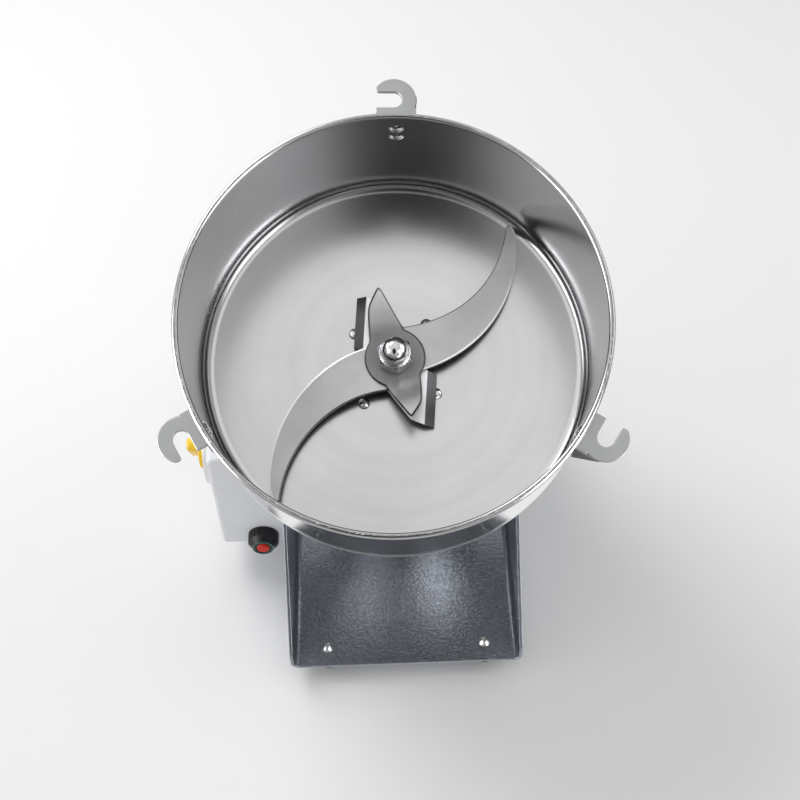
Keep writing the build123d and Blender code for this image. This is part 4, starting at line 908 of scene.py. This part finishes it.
# The ground edge on each arm's lit side gets a painted highlight; the ground edge on its other side, the cut edges and
# the whole underside get a painted shade.
first_arm = np.arange(sections) < sections / 2
blade_finish = np.zeros(blade_points.shape[:2], dtype=np.int32)
blade_finish[:, ACROSS_STEPS - 1] = np.where(first_arm, BRIGHT, DARK)
blade_finish[:, ACROSS_STEPS:-1] = DARK
blade_finish[:, -1] = np.where(first_arm, DARK, BRIGHT)
blade_sharp = [0, ACROSS_STEPS - 1, ACROSS_STEPS, ACROSS_STEPS + 1, 2 * ACROSS_STEPS, 2 * ACROSS_STEPS + 1]
blade_finishes = [finishes["blade_steel"], finishes["ground_edge_highlight"], finishes["edge_shade"]]
long_blade = grid_piece("long_blade", blade_points, blade_finishes, "rotor", closed=False,
                        sharp=blade_sharp, finish_of=blade_finish)
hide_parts("main_blade")
print("long blade", len(long_blade.data.polygons), "faces")

# %% Upper blade, plan
WING_CORNERS = np.array([[0.0059, 0.0176], [-0.0081, 0.0403], [-0.0154, 0.0286], [-0.0148, 0.0107]])
CORNER_POWER = 18.0
HUB_POWER = 80.0
SHAFT_HOLE = 0.0061
WING_SLACK = radians(8.0)
WING_TURNS = 1080

side_run = np.diff(WING_CORNERS, axis=0)
side_out = np.stack([side_run[:, 1], -side_run[:, 0]], axis=1) / np.linalg.norm(side_run, axis=1, keepdims=True)
side_distance = np.sum(side_out * WING_CORNERS[:-1], axis=1)
wing_angle = np.linspace(0, 2 * np.pi, WING_TURNS, endpoint=False)
heading = polar(1.0, wing_angle)
wing_from, wing_to = np.arctan2(WING_CORNERS[[0, -1], 1], WING_CORNERS[[0, -1], 0])


def upper_outline(heading, angle):
    """Distance of the upper blade's outline from the axis.

    A straight side at distance d with outward direction n is met at d / (heading . n). A wing is the nearest of its
    three sides, with soft corners: 1 / r is the power mean of the sides' (heading . n) / d. The blade is the farther
    of wing and hub, soft in the same way, and its two wings are half a turn apart.
    """
    half_turn = angle % np.pi
    one_way = np.where((angle < np.pi)[:, None], heading, -heading)
    nearness = np.clip(one_way @ side_out.T / side_distance, 0, None)
    wing = np.sum(nearness**CORNER_POWER, axis=1) ** (-1 / CORNER_POWER)
    in_wing = (half_turn > wing_from - WING_SLACK) & (half_turn < wing_to + WING_SLACK)
    wing = np.where(in_wing, wing, 0.0)
    return ((wing / BLADE_HUB) ** HUB_POWER + 1) ** (1 / HUB_POWER) * BLADE_HUB


upper_edge = heading * upper_outline(heading, wing_angle)[:, None]
print("upper blade reaches", round(1000 * float(np.linalg.norm(upper_edge, axis=1).max()), 1), "mm")

# %% Upper blade, sheet
UPPER_LEVEL = 0.0425
UPPER_SHEET = 0.002
WING_HEADING = radians(101.8)
WING_BEND_START = 0.012
WING_BEND_END = 0.026
WING_SLOPE = np.tan(radians(36.0))
UPPER_GROUND = 0.0010
HALFWAY_DEPTH = 1 / 6
UPPER_STEPS = 30


def wing_height(plan):
    """Height of the bent sheet: with u the distance from the middle along the wings, a parabola from the start of
    the bend to its end, then a straight slope."""
    along = np.abs(plan[..., 0] * np.cos(WING_HEADING) + plan[..., 1] * np.sin(WING_HEADING))
    bend = np.clip(along, WING_BEND_START, WING_BEND_END) - WING_BEND_START
    beyond = np.clip(along - WING_BEND_END, 0, None)
    return WING_SLOPE * (bend**2 / (2 * (WING_BEND_END - WING_BEND_START)) + beyond)


around = np.concatenate([upper_edge[-1:], upper_edge, upper_edge[:1]])
ground = np.full(len(around), UPPER_GROUND)
ground_line = inwards(around, ground, 1)[1:-1]
half_line = inwards(around, ground / 2, 1)[1:-1]
hole = heading * SHAFT_HOLE
share = np.linspace(0, 1, UPPER_STEPS)[None, :, None]
upper_top = hole[:, None] * (1 - share) + ground_line[:, None] * share
upper_under = upper_edge[:, None] * (1 - share) + hole[:, None] * share
upper_plan = np.concatenate([upper_top, half_line[:, None], upper_edge[:, None], upper_under], axis=1)
ground_above = UPPER_SHEET - UPPER_GROUND * np.array([HALFWAY_DEPTH, 1])
upper_above = np.concatenate([np.full(UPPER_STEPS, UPPER_SHEET), ground_above, np.zeros(UPPER_STEPS)])
upper_points = on_head(upper_plan, UPPER_LEVEL + wing_height(upper_plan) + upper_above)
# The upper blade's ground bevel and its cut edge get a painted shade.
upper_finish = np.zeros(upper_points.shape[:2], dtype=np.int32)
upper_finish[:, UPPER_STEPS - 1:UPPER_STEPS + 2] = DARK
upper_sharp = [0, UPPER_STEPS - 1, UPPER_STEPS, UPPER_STEPS + 1, UPPER_STEPS + 2, 2 * UPPER_STEPS + 1]
upper_finishes = [finishes["wing_steel"], *blade_finishes[BRIGHT:]]
winged_blade = grid_piece("winged_blade", upper_points[::-1], upper_finishes, "rotor",
                          sharp=upper_sharp, finish_of=upper_finish)
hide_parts("upper_blade")
print("upper blade", len(winged_blade.data.polygons), "faces")

# %% [markdown]
# Broken edges
#
# Sheet metal never ends in a perfectly sharp edge: a thin bright line runs along it. So the lowest blade, the hooks,
# the base and the nut get a small bevel on their sharp edges. The CAD meshes have split corners and many coplanar
# triangles, so the corners are joined and the flats made whole before the bevel.

# %% Bevels
FOLD_LIMIT = 25.0
JOIN_DISTANCE = 0.000002
FLAT_LIMIT = 0.05
EDGE_LIMIT = 40.0
NUT_LIMIT = 25.0
SHEET_BREAK = 0.0004
NUT_BREAK = 0.0003
BEVELLED_SHEETS = ("lower_blade", "lid_hook_left", "lid_hook_right", "lid_hook_rear", "base_bracket")


def clean_corners():
    """A geometry group that joins the CAD mesh's split corners, drops its stored normals and keeps its folds sharp."""
    group = bpy.data.node_groups.new("clean_corners", "GeometryNodeTree")
    group.interface.new_socket("Geometry", in_out="INPUT", socket_type="NodeSocketGeometry")
    group.interface.new_socket("Geometry", in_out="OUTPUT", socket_type="NodeSocketGeometry")
    chain = [group.nodes.new("NodeGroupInput"), group.nodes.new("GeometryNodeRemoveAttribute"),
             group.nodes.new("GeometryNodeMergeByDistance"), group.nodes.new("GeometryNodeSetShadeSmooth"),
             group.nodes.new("GeometryNodeSetShadeSmooth"), group.nodes.new("NodeGroupOutput")]
    chain[1].inputs["Name"].default_value = "custom_normal"
    chain[2].inputs["Distance"].default_value = JOIN_DISTANCE
    fold = group.nodes.new("GeometryNodeInputMeshEdgeAngle")
    folded = group.nodes.new("FunctionNodeCompare")
    folded.operation = "GREATER_THAN"
    folded.inputs[1].default_value = radians(FOLD_LIMIT)
    group.links.new(fold.outputs[0], folded.inputs[0])
    chain[4].domain = "EDGE"
    chain[4].inputs["Shade Smooth"].default_value = False
    group.links.new(folded.outputs[0], chain[4].inputs["Selection"])
    for before, after in zip(chain, chain[1:]):
        group.links.new(before.outputs[0], after.inputs[0])
    return group


joined_corners = clean_corners()


def break_edges(name, width, limit):
    """Modifiers that bevel a node's edges where its faces meet at more than a limit in degrees."""
    node = nodes[name]
    join = node.modifiers.new("join", "NODES")
    join.node_group = joined_corners
    flatten = node.modifiers.new("flatten", "DECIMATE")
    flatten.decimate_type = "DISSOLVE"
    flatten.angle_limit = radians(FLAT_LIMIT)
    bevel = node.modifiers.new("broken_edge", "BEVEL")
    bevel.limit_method = "ANGLE"
    bevel.angle_limit = radians(limit)
    bevel.width = width
    bevel.segments = 2
    bevel.harden_normals = True
    bevel.use_clamp_overlap = False


for sheet in BEVELLED_SHEETS:
    break_edges(sheet, SHEET_BREAK, EDGE_LIMIT)
break_edges("cap_nut", NUT_BREAK, NUT_LIMIT)
print("bevels on", [name for name, node in nodes.items() if "broken_edge" in node.modifiers])

# %% [markdown]
# Marks on the timer
#
# The timer's dial has a printed scale from 0 to 5 minutes and the knob has a painted line that points at it. Ink and
# paint lie on the surface, so each mark is a very thin solid on the face that carries it. The strokes are small
# blocks worked out as one array. The figures come from Blender's own font, made into meshes before they are placed.

# %% Dial scale
DIAL_FACE = np.array([-0.12275, -0.014, 0.091])
DIAL_RIGHT = np.array([0.0, -1.0, 0.0])
DIAL_UP = np.array([0.0, 0.0, 1.0])
DIAL_OUT = np.array([-1.0, 0.0, 0.0])
MINUTES = 5
PARTS_OF_MINUTE = 5
TURN_PER_MINUTE = 60.0
INK = 0.00008
SUNK = 0.00002
STROKE_INNER = 0.0152
STROKE_SHORT = 0.0168
STROKE_LONG = 0.0178
STROKE_HALF = 0.00018
FIGURE_RADIUS = 0.0202
FIGURE_HEIGHT = 0.0040
BLOCK_CORNERS = 8
BLOCK_FACES = np.array([[0, 2, 3, 1], [4, 5, 7, 6], [0, 1, 5, 4], [2, 6, 7, 3], [0, 4, 6, 2], [1, 3, 7, 5]])


def dial_blocks(inner, outer, half, angle, face):
    """Flat blocks on a face that looks along DIAL_OUT, pointing away from its middle.

    Each block has corners at (along, across, up): along is inner or outer, across is minus or plus half, up is SUNK
    under the face or INK over it. An angle A, clockwise from the top, turns along to sin A to the right and cos A up,
    and across to cos A to the right and minus sin A up.
    """
    along = np.stack([inner, outer], axis=1)[:, :, None, None, None]
    across = np.array([-half, half])[None, None, :, None, None]
    up = np.array([-SUNK, INK])[None, None, None, :, None]
    turn = np.radians(angle)[:, None, None, None, None]
    right = along * np.sin(turn) + across * np.cos(turn)
    high = along * np.cos(turn) - across * np.sin(turn)
    corners = (face + right * DIAL_RIGHT + high * DIAL_UP + up * DIAL_OUT).reshape(-1, 3)
    faces = (BLOCK_FACES + BLOCK_CORNERS * np.arange(len(angle))[:, None, None]).reshape(-1, 4)
    return corners, faces


def thin_marks(name, blocks, body, slot):
    """A piece of thin blocks that rides on a body and has the finish of its slot."""
    corners, faces = blocks
    mesh = bpy.data.meshes.new(name)
    mesh.from_pydata(corners.tolist(), [], faces.tolist())
    return add_piece(name, mesh, [finishes[slot]], body)


step = np.arange(MINUTES * PARTS_OF_MINUTE + 1)
step_angle = step * TURN_PER_MINUTE / PARTS_OF_MINUTE
step_end = np.where(step % PARTS_OF_MINUTE == 0, STROKE_LONG, STROKE_SHORT)
step_start = np.full(len(step), STROKE_INNER)
scale_blocks = dial_blocks(step_start, step_end, STROKE_HALF, step_angle, DIAL_FACE)
thin_marks("dial_scale", scale_blocks, "base", "black_plastic")
print("dial strokes", len(step))

# %% Dial figures


def dial_figure(minute):
    """A figure of Blender's own font as a mesh, upright on the dial at its minute's angle."""
    name = "dial_figure_" + str(minute)
    letter = bpy.data.curves.new(name, "FONT")
    letter.body = str(minute)
    letter.size = FIGURE_HEIGHT
    letter.align_x = "CENTER"
    letter.align_y = "CENTER"
    letter.extrude = (INK + SUNK) / 2
    drawn = bpy.data.objects.new(name, letter)
    mesh = bpy.data.meshes.new_from_object(drawn)
    bpy.data.objects.remove(drawn)
    bpy.data.curves.remove(letter)
    angle = radians(minute * TURN_PER_MINUTE)
    outwards = np.sin(angle) * DIAL_RIGHT + np.cos(angle) * DIAL_UP
    spot = DIAL_FACE + FIGURE_RADIUS * outwards + (INK - SUNK) / 2 * DIAL_OUT
    to_dial = np.eye(4)
    to_dial[:3] = np.stack([DIAL_RIGHT, DIAL_UP, DIAL_OUT, spot], axis=1)
    mesh.transform(Matrix(to_dial.tolist()))
    mesh.materials.clear()
    return add_piece(name, mesh, [finishes["black_plastic"]], "base")


figures = [dial_figure(minute) for minute in range(MINUTES + 1)]
print("dial figures", [len(figure.data.polygons) for figure in figures])

# %% Pointer on the knob
KNOB_TOP = np.array([-0.13415, -0.014, 0.091])
KNOB_ANGLE = 28.0
POINTER_START = 0.0010
POINTER_END = 0.0095
POINTER_HALF = 0.0007

pointer_run = np.array([[POINTER_START], [POINTER_END]])
pointer_blocks = dial_blocks(*pointer_run, POINTER_HALF, np.array([KNOB_ANGLE]), KNOB_TOP)
thin_marks("knob_pointer", pointer_blocks, "timer", "dial_white")
print("pointer at", KNOB_ANGLE, "degrees")
